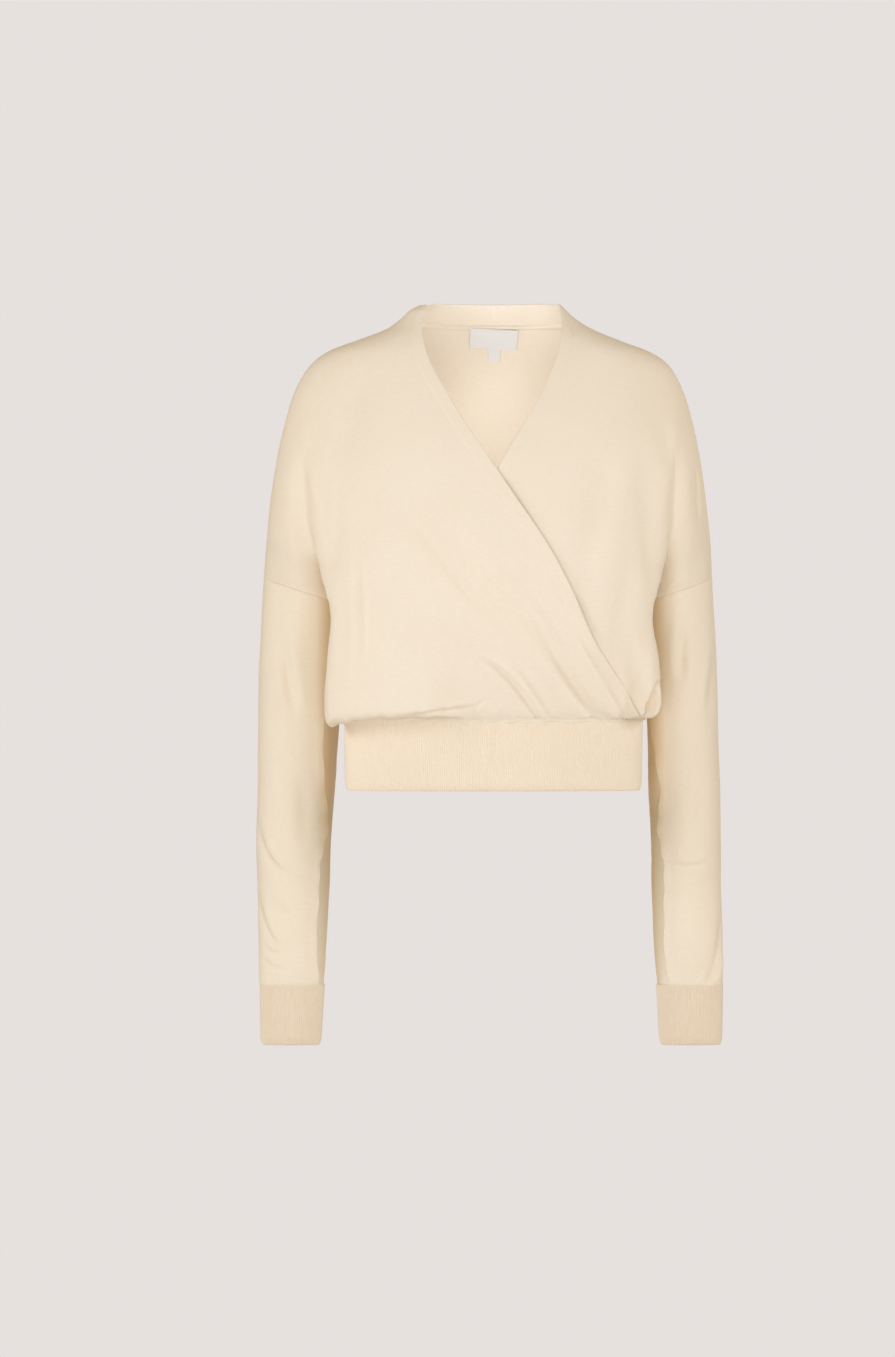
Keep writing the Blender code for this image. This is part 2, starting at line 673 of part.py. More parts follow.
def build_neckband(name, side, finish):
    """Half of the standing band behind the neck, from the centre back to the shoulder line."""
    grid = []
    for z in np.linspace(0, -NECK_STAND, 5):
        path = section(side, z, "centre back", "shoulder line")
        path = resample(path, 9)
        path[0, 0] += side * SEAM_GAP / 2
        grid.append(np.column_stack([path, np.full(len(path), z)]))
    grid = np.array(grid)
    present = np.ones((grid.shape[0] - 1, grid.shape[1] - 1), bool)
    inner = wall_behind(grid, present, side, NECK_WALL)
    inner[:, 0, 0] = grid[:, 0, 0]
    inner[:, -1, 1] = grid[:, -1, 1]
    inner[[0, -1], :, 2] = grid[[0, -1], :, 2]
    return add_wall(name, grid, inner, present, finish)


# ---------------------------------------------------------------- sleeves, cuffs, waistband, labels

SLEEVE_STEPS = (-370, -415, -460, -505, -550, -588, -600, -612, -640, -670, -700)


def tube_at(table, side, z):
    """Centre and half sizes of a sleeve or a cuff at height z."""
    columns = from_table(table, z)
    outer, inner = columns[:2] if side < 0 else columns[2:4]
    centre = np.array([side * (outer + inner) / 2, columns[4]])
    return centre, np.array([(outer - inner) / 2, columns[5]])


def armhole_ring(side):
    """The body's edge round the arm, from the underarm over the front, the arm and the back."""
    front = arm_row(side, SHOULDER_END_Z, "front crease")
    back = arm_row(side, SHOULDER_END_Z, "back crease")
    return np.vstack([front, back[-2:0:-1]])


def build_sleeve(name, side, finish):
    ring = armhole_ring(side)
    centre, half = np.array([tube_at(SLEEVE, side, z) for z in ring[:, 2]]).transpose(1, 0, 2)
    flat = (ring[:, :2] - centre) / half
    angle = np.arctan2(flat[:, 1], flat[:, 0])
    reach = np.linalg.norm(flat, axis=1)
    dip = (SHOULDER_END_Z - ring[:, 2]) / ARMHOLE_DROP
    top = ring[:, 2] - SEAM_GAP - UNDERARM_CLEAR * dip**3
    grid = []
    for k, z in enumerate((None, *SLEEVE_STEPS, CUFF_SEAM_Z + SEAM_GAP)):
        ease = SLEEVE_EASE[k] if k < len(SLEEVE_EASE) else 0.0
        heights = top if z is None else np.full(len(top), float(z))
        row = []
        for a, r, height in zip(angle, reach, heights):
            middle, size = tube_at(SLEEVE, side, height)
            out = np.array([math.cos(a), math.sin(a)])
            row.append([*(middle + out * size * (1 + (r - 1) * ease)), height])
        grid.append(row)
    grid = np.array(grid)
    grid[0, 0, 0] += side * UNDERARM_CLEAR
    around = np.concatenate([grid, grid[:, :1]], axis=1)
    wide = np.concatenate([around[:, -2:-1], around, around[:, 1:2]], axis=1)
    present = np.ones((wide.shape[0] - 1, wide.shape[1] - 1), bool)
    inner = wall_behind(wide, present, -side, WALL)[:, 1:-2]
    inner[[0, -1], :, 2] = grid[[0, -1], :, 2]
    return add_tube(name, grid, inner, finish)


def build_cuff(name, side, finish):
    ends = []
    for z in (CUFF_SEAM_Z, CUFF_HEM_Z):
        centre, half = tube_at(CUFF, side, z)
        ends.append((z, centre, half, CUFF_POWER))
    return add_ribbed_tube(name, *ends, CUFF_RIBS, CUFF_FACET, finish)


def build_label(name, size, finish):
    """A small woven label on the inside of the back, following it a little way off."""
    xs = np.linspace(size["left"], size["right"], 6)
    zs = np.linspace(size["top"], size["bottom"], 3)
    tilt = math.radians(size["turn"])
    grid = np.zeros((len(zs), len(xs), 3))
    for r, c in np.ndindex(len(zs), len(xs)):
        x = xs[c]
        z = zs[r] - (x - size["left"]) * math.tan(tilt)
        path = np.vstack([
            section(-1, z, "shoulder blade", "centre back"),
            section(1, z, "centre back", "shoulder blade")[1:],
        ])
        y = np.interp(x, path[:, 0], path[:, 1]) - WALL - 2 * SEAM_GAP
        grid[r, c] = (x, y, z)
    present = np.ones((len(zs) - 1, len(xs) - 1), bool)
    return add_wall(name, grid - (0, size["thick"], 0), grid, present, finish)


def clear_scene():
    for thing in list(bpy.data.objects):
        bpy.data.objects.remove(thing, do_unlink=True)


def build():
    clear_scene()
    jersey = material("jersey", CREAM)
    sleeve_jersey = material("sleeve_jersey", SLEEVE_CREAM)
    rib = material("rib", RIB_CREAM)
    woven = material("woven_label", LABEL_WHITE)
    build_front("front_right", -1, OUTER_EDGE, RIGHT_COLUMNS, lift_right, jersey)
    build_front("front_left", 1, INNER_EDGE, LEFT_COLUMNS, lift_left, jersey)
    build_back(jersey)
    for name, side in SIDES.items():
        build_neckband("neckband_" + name, side, jersey)
        build_sleeve("sleeve_" + name, side, sleeve_jersey)
        build_cuff("cuff_" + name, side, rib)
    add_ribbed_tube(
        "waistband",
        (WAIST_SEAM_Z, BAND_CENTRE, BAND_HALF, BAND_POWER),
        (HEM_Z, BAND_CENTRE, BAND_HEM_HALF, BAND_POWER),
        BAND_RIBS, BAND_FACET, rib,
    )
    build_label("label_main", LABEL, woven)
    build_label("label_size", SIZE_TAB, woven)


build()
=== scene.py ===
import math

import bpy
import numpy as np
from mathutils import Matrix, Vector


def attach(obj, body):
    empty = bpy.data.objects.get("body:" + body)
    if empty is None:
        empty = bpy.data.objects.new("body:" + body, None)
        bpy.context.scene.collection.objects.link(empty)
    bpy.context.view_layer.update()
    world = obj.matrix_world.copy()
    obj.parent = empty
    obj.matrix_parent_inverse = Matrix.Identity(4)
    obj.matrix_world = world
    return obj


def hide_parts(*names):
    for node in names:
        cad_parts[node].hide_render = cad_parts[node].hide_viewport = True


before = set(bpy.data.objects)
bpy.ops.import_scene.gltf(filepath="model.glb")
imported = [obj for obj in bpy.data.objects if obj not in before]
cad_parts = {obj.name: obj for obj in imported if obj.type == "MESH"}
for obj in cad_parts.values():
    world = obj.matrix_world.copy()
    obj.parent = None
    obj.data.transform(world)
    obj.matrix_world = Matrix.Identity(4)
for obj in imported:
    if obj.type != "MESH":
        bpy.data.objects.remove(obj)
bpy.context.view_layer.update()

bpy.ops.object.select_all(action="DESELECT")

# ---------------------------------------------------------------- the studio
# The top hangs at a standing wearer's height, over a plain pale floor in a pale room. The light is
# soft: wide panels low in front, at both sides and behind, the room's own light all round, and a
# small lamp in the neck opening for the inside of the back.

CAMERA_AWAY = 9.0
VIEW_HEIGHT = 1.4547  # metres across the long side of the view, where the garment hangs
VIEW_MIDDLE = (-0.0466, -0.4004)  # x and z of its middle
SENSOR = 36.0
SEES_TO = 100.0
ROOM = (0.791, 0.753, 0.730, 1.0)
ROOM_FILL = (0.395, 0.315, 0.190, 1.0)  # the warmer and weaker light of the room on the garment
COOL = (0.92, 1.0, 1.18)
WARMER = (0.945, 0.98, 1.07)
FLOOR_Z = -1.42
FLOOR_RADIUS = 0.75
FLOOR_PAINT = (0.80, 0.77, 0.75, 1.0)
AIM = Vector((0.0, 0.0, -0.40))
PANELS = [
    # name, x, y, z, width, watts, colour, what it is turned to
    ("panel_front", -0.4, -3.4, -1.4, 2.4, 55.0, COOL, AIM),
    ("panel_left", -2.8, -1.4, 0.6, 1.6, 40.0, COOL, AIM),
    ("panel_right", 2.8, -1.4, 0.6, 1.6, 40.0, COOL, AIM),
    ("panel_back", 0.5, 3.4, 0.2, 2.4, 50.0, COOL, AIM),
    ("lamp_inside", 0.0, -0.03, -0.140, 0.09, 0.125, WARMER, Vector((0.0, 0.09, -0.140))),
]

scene = bpy.context.scene
scene.view_settings.view_transform = "Standard"
bpy.ops.object.camera_add(
    location=(VIEW_MIDDLE[0], -CAMERA_AWAY, VIEW_MIDDLE[1]), rotation=(math.pi / 2, 0, 0)
)
camera = bpy.context.object
camera.name = "camera"
camera.data.sensor_width = SENSOR
camera.data.lens = SENSOR * CAMERA_AWAY / VIEW_HEIGHT
camera.data.clip_end = SEES_TO
scene.camera = camera

room = bpy.data.worlds.new("pale_room")
room.use_nodes = True
seen = room.node_tree.nodes.new("ShaderNodeLightPath")
walls = room.node_tree.nodes.new("ShaderNodeMixRGB")
walls.inputs["Color1"].default_value = ROOM_FILL
walls.inputs["Color2"].default_value = ROOM
room.node_tree.links.new(seen.outputs["Is Camera Ray"], walls.inputs["Fac"])
room.node_tree.links.new(walls.outputs["Color"], room.node_tree.nodes["Background"].inputs["Color"])
scene.world = room

for name, x, y, z, width, watts, colour, target in PANELS:
    bpy.ops.object.light_add(type="AREA", location=(x, y, z))
    panel = bpy.context.object
    panel.name = name
    panel.data.size = width
    panel.data.energy = watts
    panel.data.color = colour
    panel.visible_camera = False
    panel.rotation_euler = (target - Vector((x, y, z))).to_track_quat("-Z", "Y").to_euler()

bpy.ops.mesh.primitive_circle_add(
    vertices=96, radius=FLOOR_RADIUS, fill_type="NGON", location=(0, 0, FLOOR_Z)
)
floor = bpy.context.object
floor.name = "floor"
paint = bpy.data.materials.new("pale_floor")
paint.use_nodes = True
paint_shader = paint.node_tree.nodes["Principled BSDF"]
paint_shader.inputs["Base Color"].default_value = FLOOR_PAINT
paint_shader.inputs["Roughness"].default_value = 0.9
floor.data.materials.append(paint)

# ---------------------------------------------------------------- the right front
# The front that lies on top, on the wearer's right: one panel of fine jersey with the front of the
# dropped shoulder knitted on. Its neck edge, turned under by 12 mm, runs on as the wrap edge and
# crosses to the left hip, and the pull of the wrap lays soft folds along it.

MM = 0.001
WALL = 1.5  # jersey with its seam allowances
LAYER = 2.4  # from the outside of one wrap front to the outside of the other
WAIST_SEAM_Z = -446.0
BLOUSE_Z = -412.0  # below this the body rolls in to the waistband
UNDERARM_Z = -325
THINNEST_CREASE = 0.6  # keeps the wall even behind a sharp crease
FINER = 5  # small cells to each of a panel's rows and columns

# How far the garment reaches to each side: over the shoulders, then down the upper arms.
OUTLINE = [
    # z, right, left
    (0, 76, 75), (-5, 86, 80), (-16, 98, 92), (-27, 115, 110), (-37, 141, 135), (-48, 171, 166),
    (-59, 188, 185), (-70, 198, 195), (-91, 210, 206), (-123, 220, 216), (-166, 230, 225),
    (-209, 237, 231), (-252, 241, 236), (-289, 244, 238), (-325, 246, 240),
]
DEPTH = [
    # z, centre front, shoulder line and upper arm, centre back
    (0, -20, 2, 66), (-16, -31, 4, 71), (-37, -43, 6, 79), (-59, -55, 8, 86), (-91, -72, 12, 93),
    (-123, -88, 16, 98), (-165, -105, 21, 102), (-205, -116, 25, 104), (-263, -124, 31, 104),
    (-325, -125, 36, 101), (-380, -124, 36, 99), (-415, -124, 36, 100),
]
# Sections below the shoulders, seen from above: where each line of the body is at each height.
LINE_Z = (-263, -289, -313, -325, -375, -415)
LINES = {
    "mid chest": ((72, -121), (70, -122), (68, -122), (66, -122), (66, -121), (66, -121)),
    "chest turn": ((130, -109), (130, -111), (128, -110), (127, -109), (128, -109), (129, -109)),
    "chest side": ((172, -82), (174, -80), (173, -77), (171, -75), (173, -75), (176, -75)),
    "body side": ((187, -58), (182, -50), (172, -44), (165, -38), (165, -33), (169, -32)),
    "front crease": ((186, -38), (173, -12), (160, 10), (152, 22), (144, 20), (149, 20)),
    "inner arm": ((198, -34), (188, -24), (174, -10), (163, -1)),
    "arm front": ((213, -29), (206, -25), (199, -21), (196, -18)),
    "outer arm": ((235, 2), (236, 3), (235, 4), (235, 5)),
    "arm back": ((235, 62), (236, 65), (235, 67), (235, 68)),
    "back of arm": ((213, 82), (206, 85), (199, 87), (197, 87)),
    "inner back arm": ((198, 84), (187, 82), (173, 72), (162, 61)),
    "back crease": ((187, 80), (176, 66), (161, 42), (152, 22), (144, 20), (149, 20)),
    "back side": ((176, 85), (166, 76), (153, 62), (143, 50), (138, 48), (142, 47)),
    "back turn": ((154, 93), (147, 88), (137, 82), (130, 78), (124, 76), (126, 77)),
    "shoulder blade": ((120, 100), (116, 98), (111, 96), (107, 94), (103, 92), (104, 93)),
    "mid back": ((65, 103), (64, 102), (62, 101), (60, 100), (60, 98), (60, 99)),
}
ARM_SHARE = {"arm front": 0.5, "back of arm": 0.5, "outer arm": 1.0, "arm back": 1.0}
# Above the chest the section is one rounded oval, and each line runs at a fixed angle on it.
LINE_ANGLE = {
    "centre front": 90, "mid chest": 76, "chest turn": 62, "chest side": 48, "body side": 40,
    "front crease": 33, "inner arm": 27, "arm front": 20, "outer arm": 9, "shoulder line": 0,
    "arm back": -9, "back of arm": -20, "inner back arm": -27, "back crease": -33,
    "back side": -40, "back turn": -48, "shoulder blade": -62, "mid back": -76,
    "centre back": -90,
}
OVAL_POWER = 2.3
NECK_GATHER = 1.7  # near the neck the lines draw together towards the shoulder line
NECK_GATHER_Z = -28.0
CREASE_TOP_Z = -120.0
CREASE_DENT = 9.0
BACK_DENT_SHARE = 0.6
CREASE_SHARPENS = 60.0  # below the oval the creases grow sharp over this height
OVAL_BOTTOM_Z = -205.0
OVAL_LEAD = 40.0  # a second oval this far above the last one gives the lines their slope there
EVEN_ROWS = 12  # fine rows over which the step at the oval's end is eased
EVEN_REACH = 36.0

OUTER_EDGE = [
    # z, x
    (0, -70), (-21, -74), (-43, -72), (-64, -65), (-94, -49), (-129, -28), (-181, 6),
    (-218, 32), (-257, 58), (-308, 85), (-362, 109), (-395, 130), (-421, 147), (-439, 157),
    (-446, 160),
]
LAYER_START_X = -70.0  # the right front comes forward from here, over LAYER_REACH
LAYER_REACH = 90.0
CALM = 0.4  # share of a fold's depth that is left at the waistband
CALM_FROM = 1.0  # height above the waist seam at which the folds start to deepen
CALM_REACH = 12.0
FLUSH = 0.7  # how much closer the layers lie where they are linked to the waistband
FLUSH_REACH = 14.0
EDGE_TURN = 12.0  # width of the turned edge
EDGE_STEP = 3.0  # width over which the cloth steps up to the turned edge
EDGE_RISE = 0.5
EDGE_GAPS = [
    # z, reach, height: where the right front's edge stands off the left front, or lies closer
    (-212, 18, 1.0), (-295, 32, 1.2), (-420, 50, -1.0),
]

# The waistband's outline, which the body is linked to, and how far the body hangs over it.
BAND_CENTRE = (2.5, -12.5)
BAND_HALF = (159.5, 87.5)
BAND_POWER = 2.4
BAND_SEAM_Y = 20.0
LOOP_HALF = 400
CHEST_OF_LOOP = 0.9  # share of the loop in which a front's edge lies
RING_POINTS = 7200
OVERHANG = [
    # x, drop
    (-170, 14), (-156, 13), (-140, 8), (-120, 4), (-85, 1), (-55, 0), (120, 0), (155, 0), (170, 1),
]
OVERHANG_ROOM = 30.0
SHOULDER_ROWS = (
    0, -6, -12, -19, -26, -33, -40, -47, -54, -62, -72, -86, -104, -126, -150, -175, -200,
    -222, -243, -262, -277, -289,
)
SHOULDER_END_Z = -289.0
ARMHOLE_DROP = 36.0  # from the shoulder line's end down to the underarm point
ARM_DROP_POWER = 1.4
BODY_ROWS = (-338, -352, -367, -382, -397, BLOUSE_Z)
ARM_COLUMNS = 10
RIGHT_COLUMNS = 34
PULLED_FLAT = (-75, -25, 138, 168)  # x between which the wrap pulls the cloth in to the waistband
SIDE_Y = (-20.0, -50.0)  # between these it leaves the body's side as it is
PULL_TOP_Z = -338.0
PULL_CURVE = 1.6
SEAM_WAVE = 0.8
SEAM_WAVE_REACH = 7.0
SEAM_PROUD = 0.5  # how far the pulled cloth stands out from the waistband
PUCKER = 0.45
PUCKER_REACH = 26.0
SEAM_FADE = 4.0  # fine columns or rows over which folds fade out beside a seam
CREASE_FADE = 5.0
WAIST_FADE = 8.0
FOLD_STEPS = 41
FOLD_ENDS = 0.4  # share of its length over which a fold starts or ends
RIDGE_AWAY = 1.7  # how far from the trough the ridge lies, in half widths
RIDGE_WIDTH = 1.2
FACING_FROM = 0.12  # front folds show where the cloth is turned to the front by more than this
FACING_REACH = 0.4
UNEVEN = (0.45, 0.2)  # heights of the slow and of the quick unevenness
ROLL = [
    # share of the way out from the waistband to the body, z, share of the overhang
    (1.0, -418, 0.1), (1.0, -424, 0.25), (0.99, -430, 0.45), (0.96, -435, 0.7),
    (0.89, -438.5, 0.88), (0.75, -440.8, 1.0), (0.56, -441.6, 0.85), (0.36, -441.8, 0.5),
    (0.18, -442.2, 0.2), (0.05, -443.6, 0.0), (0.0, WAIST_SEAM_Z - 0.4, 0.0),
]

# Soft folds, each along a curve through three points. The ridge lies beside the trough, to its
# left going down, or to its right where it is negative. The last column is 1 where it runs on
# into the seam.
RIGHT_FOLDS = [
    # x0, z0, x1, z1, x2, z2, half width, trough, ridge, runs on
    (-112, -200, -42, -292, 30, -384, 6.5, 3.0, 2.4, 0),
    (-20, -378, 23, -407, 60, -471, 3.2, 3.4, 2.2, 0),
    (15, -378, 43, -412, 75, -466, 3.0, 1.8, 1.2, 0),
    (-56, -217, 25, -333, 120, -449, 7.0, 2.8, 2.2, 1),
    (10, -289, 58, -362, 104, -440, 4.5, 2.4, 2.0, 1),
    (74, -327, 110, -389, 142, -449, 3.6, 2.2, 1.6, 1),
    (43, -279, 79, -329, 106, -370, 3.5, 1.0, 0.8, 0),
    (-144, -215, -136, -338, -142, -424, 6.0, 3.0, -2.8, 0),
    (-176, -140, -170, -235, -176, -340, 11.0, 4.2, 0.0, 0),
    (-132, -60, -150, -120, -156, -180, 14.0, 2.6, 0.0, 0),
    (-205, -100, -192, -175, -177, -248, 7.0, -3.4, 0.0, 0),
    (-211, -120, -208, -198, -202, -280, 7.0, 0.9, 0.0, 0),
    (-104, -443, -56, -436, -8, -428, 2.6, 2.6, 1.4, 0),
    (-70, -428, -78, -436, -81, -443, 1.8, 1.2, 1.0, 0),
    (-42, -424, -51, -433, -55, -442, 2.0, 1.4, 1.2, 0),
    (-6, -420, -15, -430, -20, -442, 2.0, 1.5, 1.2, 0),
    (-150, -46, -150, -57, -150, -67, 1.6, 0.5, 0.0, 0),
]


def smooth(value):
    """0 up to 0, 1 from 1 on, and a soft step between them."""
    value = np.clip(value, 0.0, 1.0)
    return value * value * (3.0 - 2.0 * value)


def bridge(t, span, start, leaving, end, arriving):
    """Smooth way from one point to the next, from its slopes at both of them."""
    return (
        (2 * t**3 - 3 * t**2 + 1) * start
        + (t**3 - 2 * t**2 + t) * span * leaving
        + (3 * t**2 - 2 * t**3) * end
        + (t**3 - t**2) * span * arriving
    )


def curve(knots, values, at):
    """Smooth curve through values (one row per knot, knots rising or falling) at one place."""
    knots, values = np.asarray(knots, float), np.asarray(values, float)
    if knots[0] > knots[-1]:
        knots, values = knots[::-1], values[::-1]
    slopes = np.gradient(values, knots, axis=0)
    i = int(np.clip(np.searchsorted(knots, at) - 1, 0, len(knots) - 2))
    span = knots[i + 1] - knots[i]
    t = (min(max(at, knots[0]), knots[-1]) - knots[i]) / span
    return bridge(t, span, values[i], slopes[i], values[i + 1], slopes[i + 1])


def from_table(table, at):
    """The columns after the first one of a table, at one value of the first column."""
    rows = np.asarray(table, float)
    return curve(rows[:, 0], rows[:, 1:], at)


def oval_lines(side, z):
    """Every line's place on the plain oval section of the shoulders, at height z."""
    reach = from_table(OUTLINE, z)[0 if side < 0 else 1]
    front, shoulder, back = from_table(DEPTH, z)
    gather = 1.0 + NECK_GATHER * min(max(1.0 - z / NECK_GATHER_Z, 0.0), 1.0)
    angles = np.array(list(LINE_ANGLE.values())) / 90.0
    angles = np.sign(angles) * np.abs(angles) ** gather * math.pi / 2
    x = reach * np.abs(np.cos(angles)) ** (2 / OVAL_POWER)
    deep = np.where(angles > 0, front, back) - shoulder
    y = shoulder + deep * np.abs(np.sin(angles)) ** (2 / OVAL_POWER)
    dent = CREASE_DENT * smooth((CREASE_TOP_Z - z) / (CREASE_TOP_Z - OVAL_BOTTOM_Z))
    names = list(LINE_ANGLE)
    y[names.index("front crease")] += dent
    y[names.index("back crease")] -= BACK_DENT_SHARE * dent
    return np.column_stack([x, y])


def body_lines(side, z):
    """Every line's (x, y) at height z, from the centre front to the centre back, with x > 0."""
    if z >= OVAL_BOTTOM_Z:
        return oval_lines(side, z)
    knots = [OVAL_BOTTOM_Z + OVAL_LEAD, OVAL_BOTTOM_Z, *LINE_Z]
    above = [oval_lines(side, knot) for knot in knots[:2]]
    both = from_table(OUTLINE, max(z, OUTLINE[-1][0]))
    reach = both[0 if side < 0 else 1]
    front, shoulder, back = from_table(DEPTH, z)
    ends = {"centre front": (0, front), "centre back": (0, back), "shoulder line": (reach, shoulder)}
    points = []
    for index, name in enumerate(LINE_ANGLE):
        if name in ends:
            points.append(ends[name])
        elif name in ("front crease", "back crease") and z < UNDERARM_Z:
            first = LINE_Z.index(UNDERARM_Z)
            levels = np.array(LINES[name][first:], float)
            heights = -np.array(LINE_Z[first:], float)
            points.append([np.interp(-z, heights, levels[:, c]) for c in (0, 1)])
        else:
            places = [lines[index] for lines in above]
            places += [np.array(place, float) for place in LINES[name]]
            point = curve(knots[: len(places)], places, z)
            points.append(point - ((both[0] - reach) * ARM_SHARE.get(name, 0.0), 0.0))
    return np.array(points, float)


def section(side, z, start, end, samples=12):
    """Dense smooth curve along the section at height z, from one named line to another."""
    names = list(LINE_ANGLE)
    points = body_lines(side, z)
    mirror = points[[1, -2]] * (-1, 1)
    points = np.vstack([mirror[:1], points, mirror[1:]])
    first, last = names.index(start) + 1, names.index(end) + 1
    sharp = smooth((OVAL_BOTTOM_Z - z) / CREASE_SHARPENS)
    steps = np.sqrt(np.linalg.norm(np.diff(points, axis=0), axis=1)).clip(1e-3)
    at = np.concatenate([[0], np.cumsum(steps)])
    slopes = np.gradient(points, at, axis=0)
    for name in ("front crease", "back crease"):
        slopes[names.index(name) + 1] *= 1.0 - sharp
    turn = 1 if first < last else -1
    t = np.linspace(0, 1, samples, endpoint=False)[:, None]
    path = []
    for i in range(first, last, turn):
        j = i + turn
        path.append(bridge(t, at[j] - at[i], points[i], slopes[i], points[j], slopes[j]))
    path.append(points[last][None, :])
    return np.vstack(path) * (side, 1)


def resample(path, count):
    """count + 1 points evenly along a path."""
    lengths = np.concatenate([[0], np.cumsum(np.linalg.norm(np.diff(path, axis=0), axis=1))])
    at = lengths[-1] * np.linspace(0, 1, count + 1)
    return np.column_stack([np.interp(at, lengths, path[:, c]) for c in range(path.shape[1])])


def cut_at_x(path, x):
    """The part of a chest path that starts at x."""
    xs = path[:, 0]
    i = np.nonzero((xs[:-1] - x) * (xs[1:] - x) <= 0)[0][0]
    share = (x - xs[i]) / (xs[i + 1] - xs[i]) if xs[i + 1] != xs[i] else 0.0
    start = path[i] + share * (path[i + 1] - path[i])
    return np.vstack([start[None, :], path[i + 1 :]])


def even_ring(centre, half, power, count):
    """count points evenly round an oval, from the wearer's left by the back, and their normals."""
    turn = np.linspace(0, 2 * math.pi, RING_POINTS + 1)
    c, s = np.cos(turn), np.sin(turn)
    path = np.column_stack([
        centre[0] + np.sign(c) * np.abs(c) ** (2 / power) * half[0],
        centre[1] + np.sign(s) * np.abs(s) ** (2 / power) * half[1],
    ])
    ring = resample(path, count)[:-1]
    along = np.roll(ring, -1, axis=0) - np.roll(ring, 1, axis=0)
    out = np.column_stack([along[:, 1], -along[:, 0]])
    return ring, out / np.linalg.norm(out, axis=1, keepdims=True)


def waist_loop(front):
    """Matching points of the body above its roll and of the waistband's seam, from the wearer's
    right side seam by the centre to the left one."""
    middle, crease = ("centre front", "front crease") if front else ("centre back", "back crease")
    right = section(-1, BLOUSE_Z, crease, middle)
    left = section(1, BLOUSE_Z, middle, crease)
    tops = np.vstack([resample(right, LOOP_HALF)[:-1], resample(left, LOOP_HALF)])
    ring, _ = even_ring(BAND_CENTRE, BAND_HALF, BAND_POWER, RING_POINTS)
    if front:
        ring = np.roll(ring, -RING_POINTS // 4, axis=0)
        ring = ring[ring[:, 1] < BAND_SEAM_Y]
    else:
        ring = np.roll(ring, RING_POINTS // 4, axis=0)
        ring = ring[ring[:, 1] > BAND_SEAM_Y][::-1]
    centre = int(np.abs(ring[:, 0] - BAND_CENTRE[0]).argmin())
    halves = resample(ring[: centre + 1], LOOP_HALF)[:-1], resample(ring[centre:], LOOP_HALF)
    return tops, np.vstack(halves)


def torso_z(z):
    """Height of a row on the body, given its height at the shoulder line and the upper arm."""
    return z - ARMHOLE_DROP * (z / SHOULDER_END_Z) ** 2


def arm_row(side, z, crease):
    """One row over the arm, from the crease to the shoulder line, dropping towards the crease."""
    row = []
    for k in range(ARM_COLUMNS + 1):
        level = z + (torso_z(z) - z) * (1 - k / ARM_COLUMNS) ** ARM_DROP_POWER
        path = resample(section(side, level, crease, "shoulder line"), ARM_COLUMNS)
        row.append([*path[k], level])
    return np.array(row)


def front_row(side, z, edge_x, columns):
    """One row of a front, from its edge across the chest to the crease or the side seam."""
    near = section(-side, z, "chest side", "centre front")
    far = section(side, z, "centre front", "front crease")
    path = cut_at_x(np.vstack([near[:-1], far]), edge_x)
    return np.column_stack([resample(path, columns), np.full(columns + 1, z)])


def roll_rows(front, columns, edge, side):
    """Rows that carry the body's last level in, under and up to the waistband's seam."""
    tops, seats = waist_loop(front)
    spare = smooth(np.linalg.norm(tops - seats, axis=1) / OVERHANG_ROOM)
    hang = np.array([from_table(OVERHANG, x)[0] for x in seats[:, 0]]) * spare
    index = np.arange(len(tops))
    rows = []
    for share, z, part in ROLL:
        loop = np.column_stack([seats + share * (tops - seats), z - part * hang])
        start, end = 0.0, index[-1]
        if edge:
            chest = np.abs(index - LOOP_HALF) < CHEST_OF_LOOP * LOOP_HALF
            start = np.interp(from_table(edge, z)[0], loop[chest, 0], index[chest])
            end = 0.0 if side < 0 else index[-1]
        at = np.linspace(start, end, columns + 1)
        rows.append(np.column_stack([np.interp(at, index, loop[:, c]) for c in range(3)]))
    return rows


def refine(grid, axis):
    """A finer grid through the points of a coarse one, smooth along one of its directions."""
    grid = np.moveaxis(grid, axis, 0)
    wide = np.concatenate([[2 * grid[0] - grid[1]], grid, [2 * grid[-1] - grid[-2]]])
    fine = []
    for a, b, c, d in zip(wide[:-3], wide[1:-2], wide[2:-1], wide[3:]):
        for t in np.arange(FINER) / FINER:
            bend = (2 * a - 5 * b + 4 * c - d) * t**2 + (3 * b - a - 3 * c + d) * t**3
            fine.append(0.5 * (2 * b + (c - a) * t + bend))
    fine.append(grid[-1])
    return np.moveaxis(np.array(fine), 0, axis)


def fine_panel(grid, shoulder, arm_first, arm_last):
    """A fine grid and its cells' mask from a panel's coarse rows, the first ones of which reach
    over an arm at one end or both. The arm creases stay as sharp as they are."""
    first, last = ARM_COLUMNS * arm_first, grid.shape[1] - 1 - ARM_COLUMNS * arm_last
    chest = refine(refine(grid[:, first : last + 1], 1), 0)
    parts = [chest]
    below = len(chest) - FINER * (shoulder - 1) - 1
    if arm_first:
        arm = refine(refine(grid[:shoulder, : first + 1], 1)[:, :-1], 0)
        parts.insert(0, np.concatenate([arm, np.repeat(arm[-1:], below, 0)]))
    if arm_last:
        arm = refine(refine(grid[:shoulder, last:], 1)[:, 1:], 0)
        parts.append(np.concatenate([arm, np.repeat(arm[-1:], below, 0)]))
    fine = np.concatenate(parts, axis=1)
    present = np.ones((fine.shape[0] - 1, fine.shape[1] - 1), bool)
    present[-below:, : FINER * first] = False
    present[-below:, FINER * last :] = False
    return fine, present


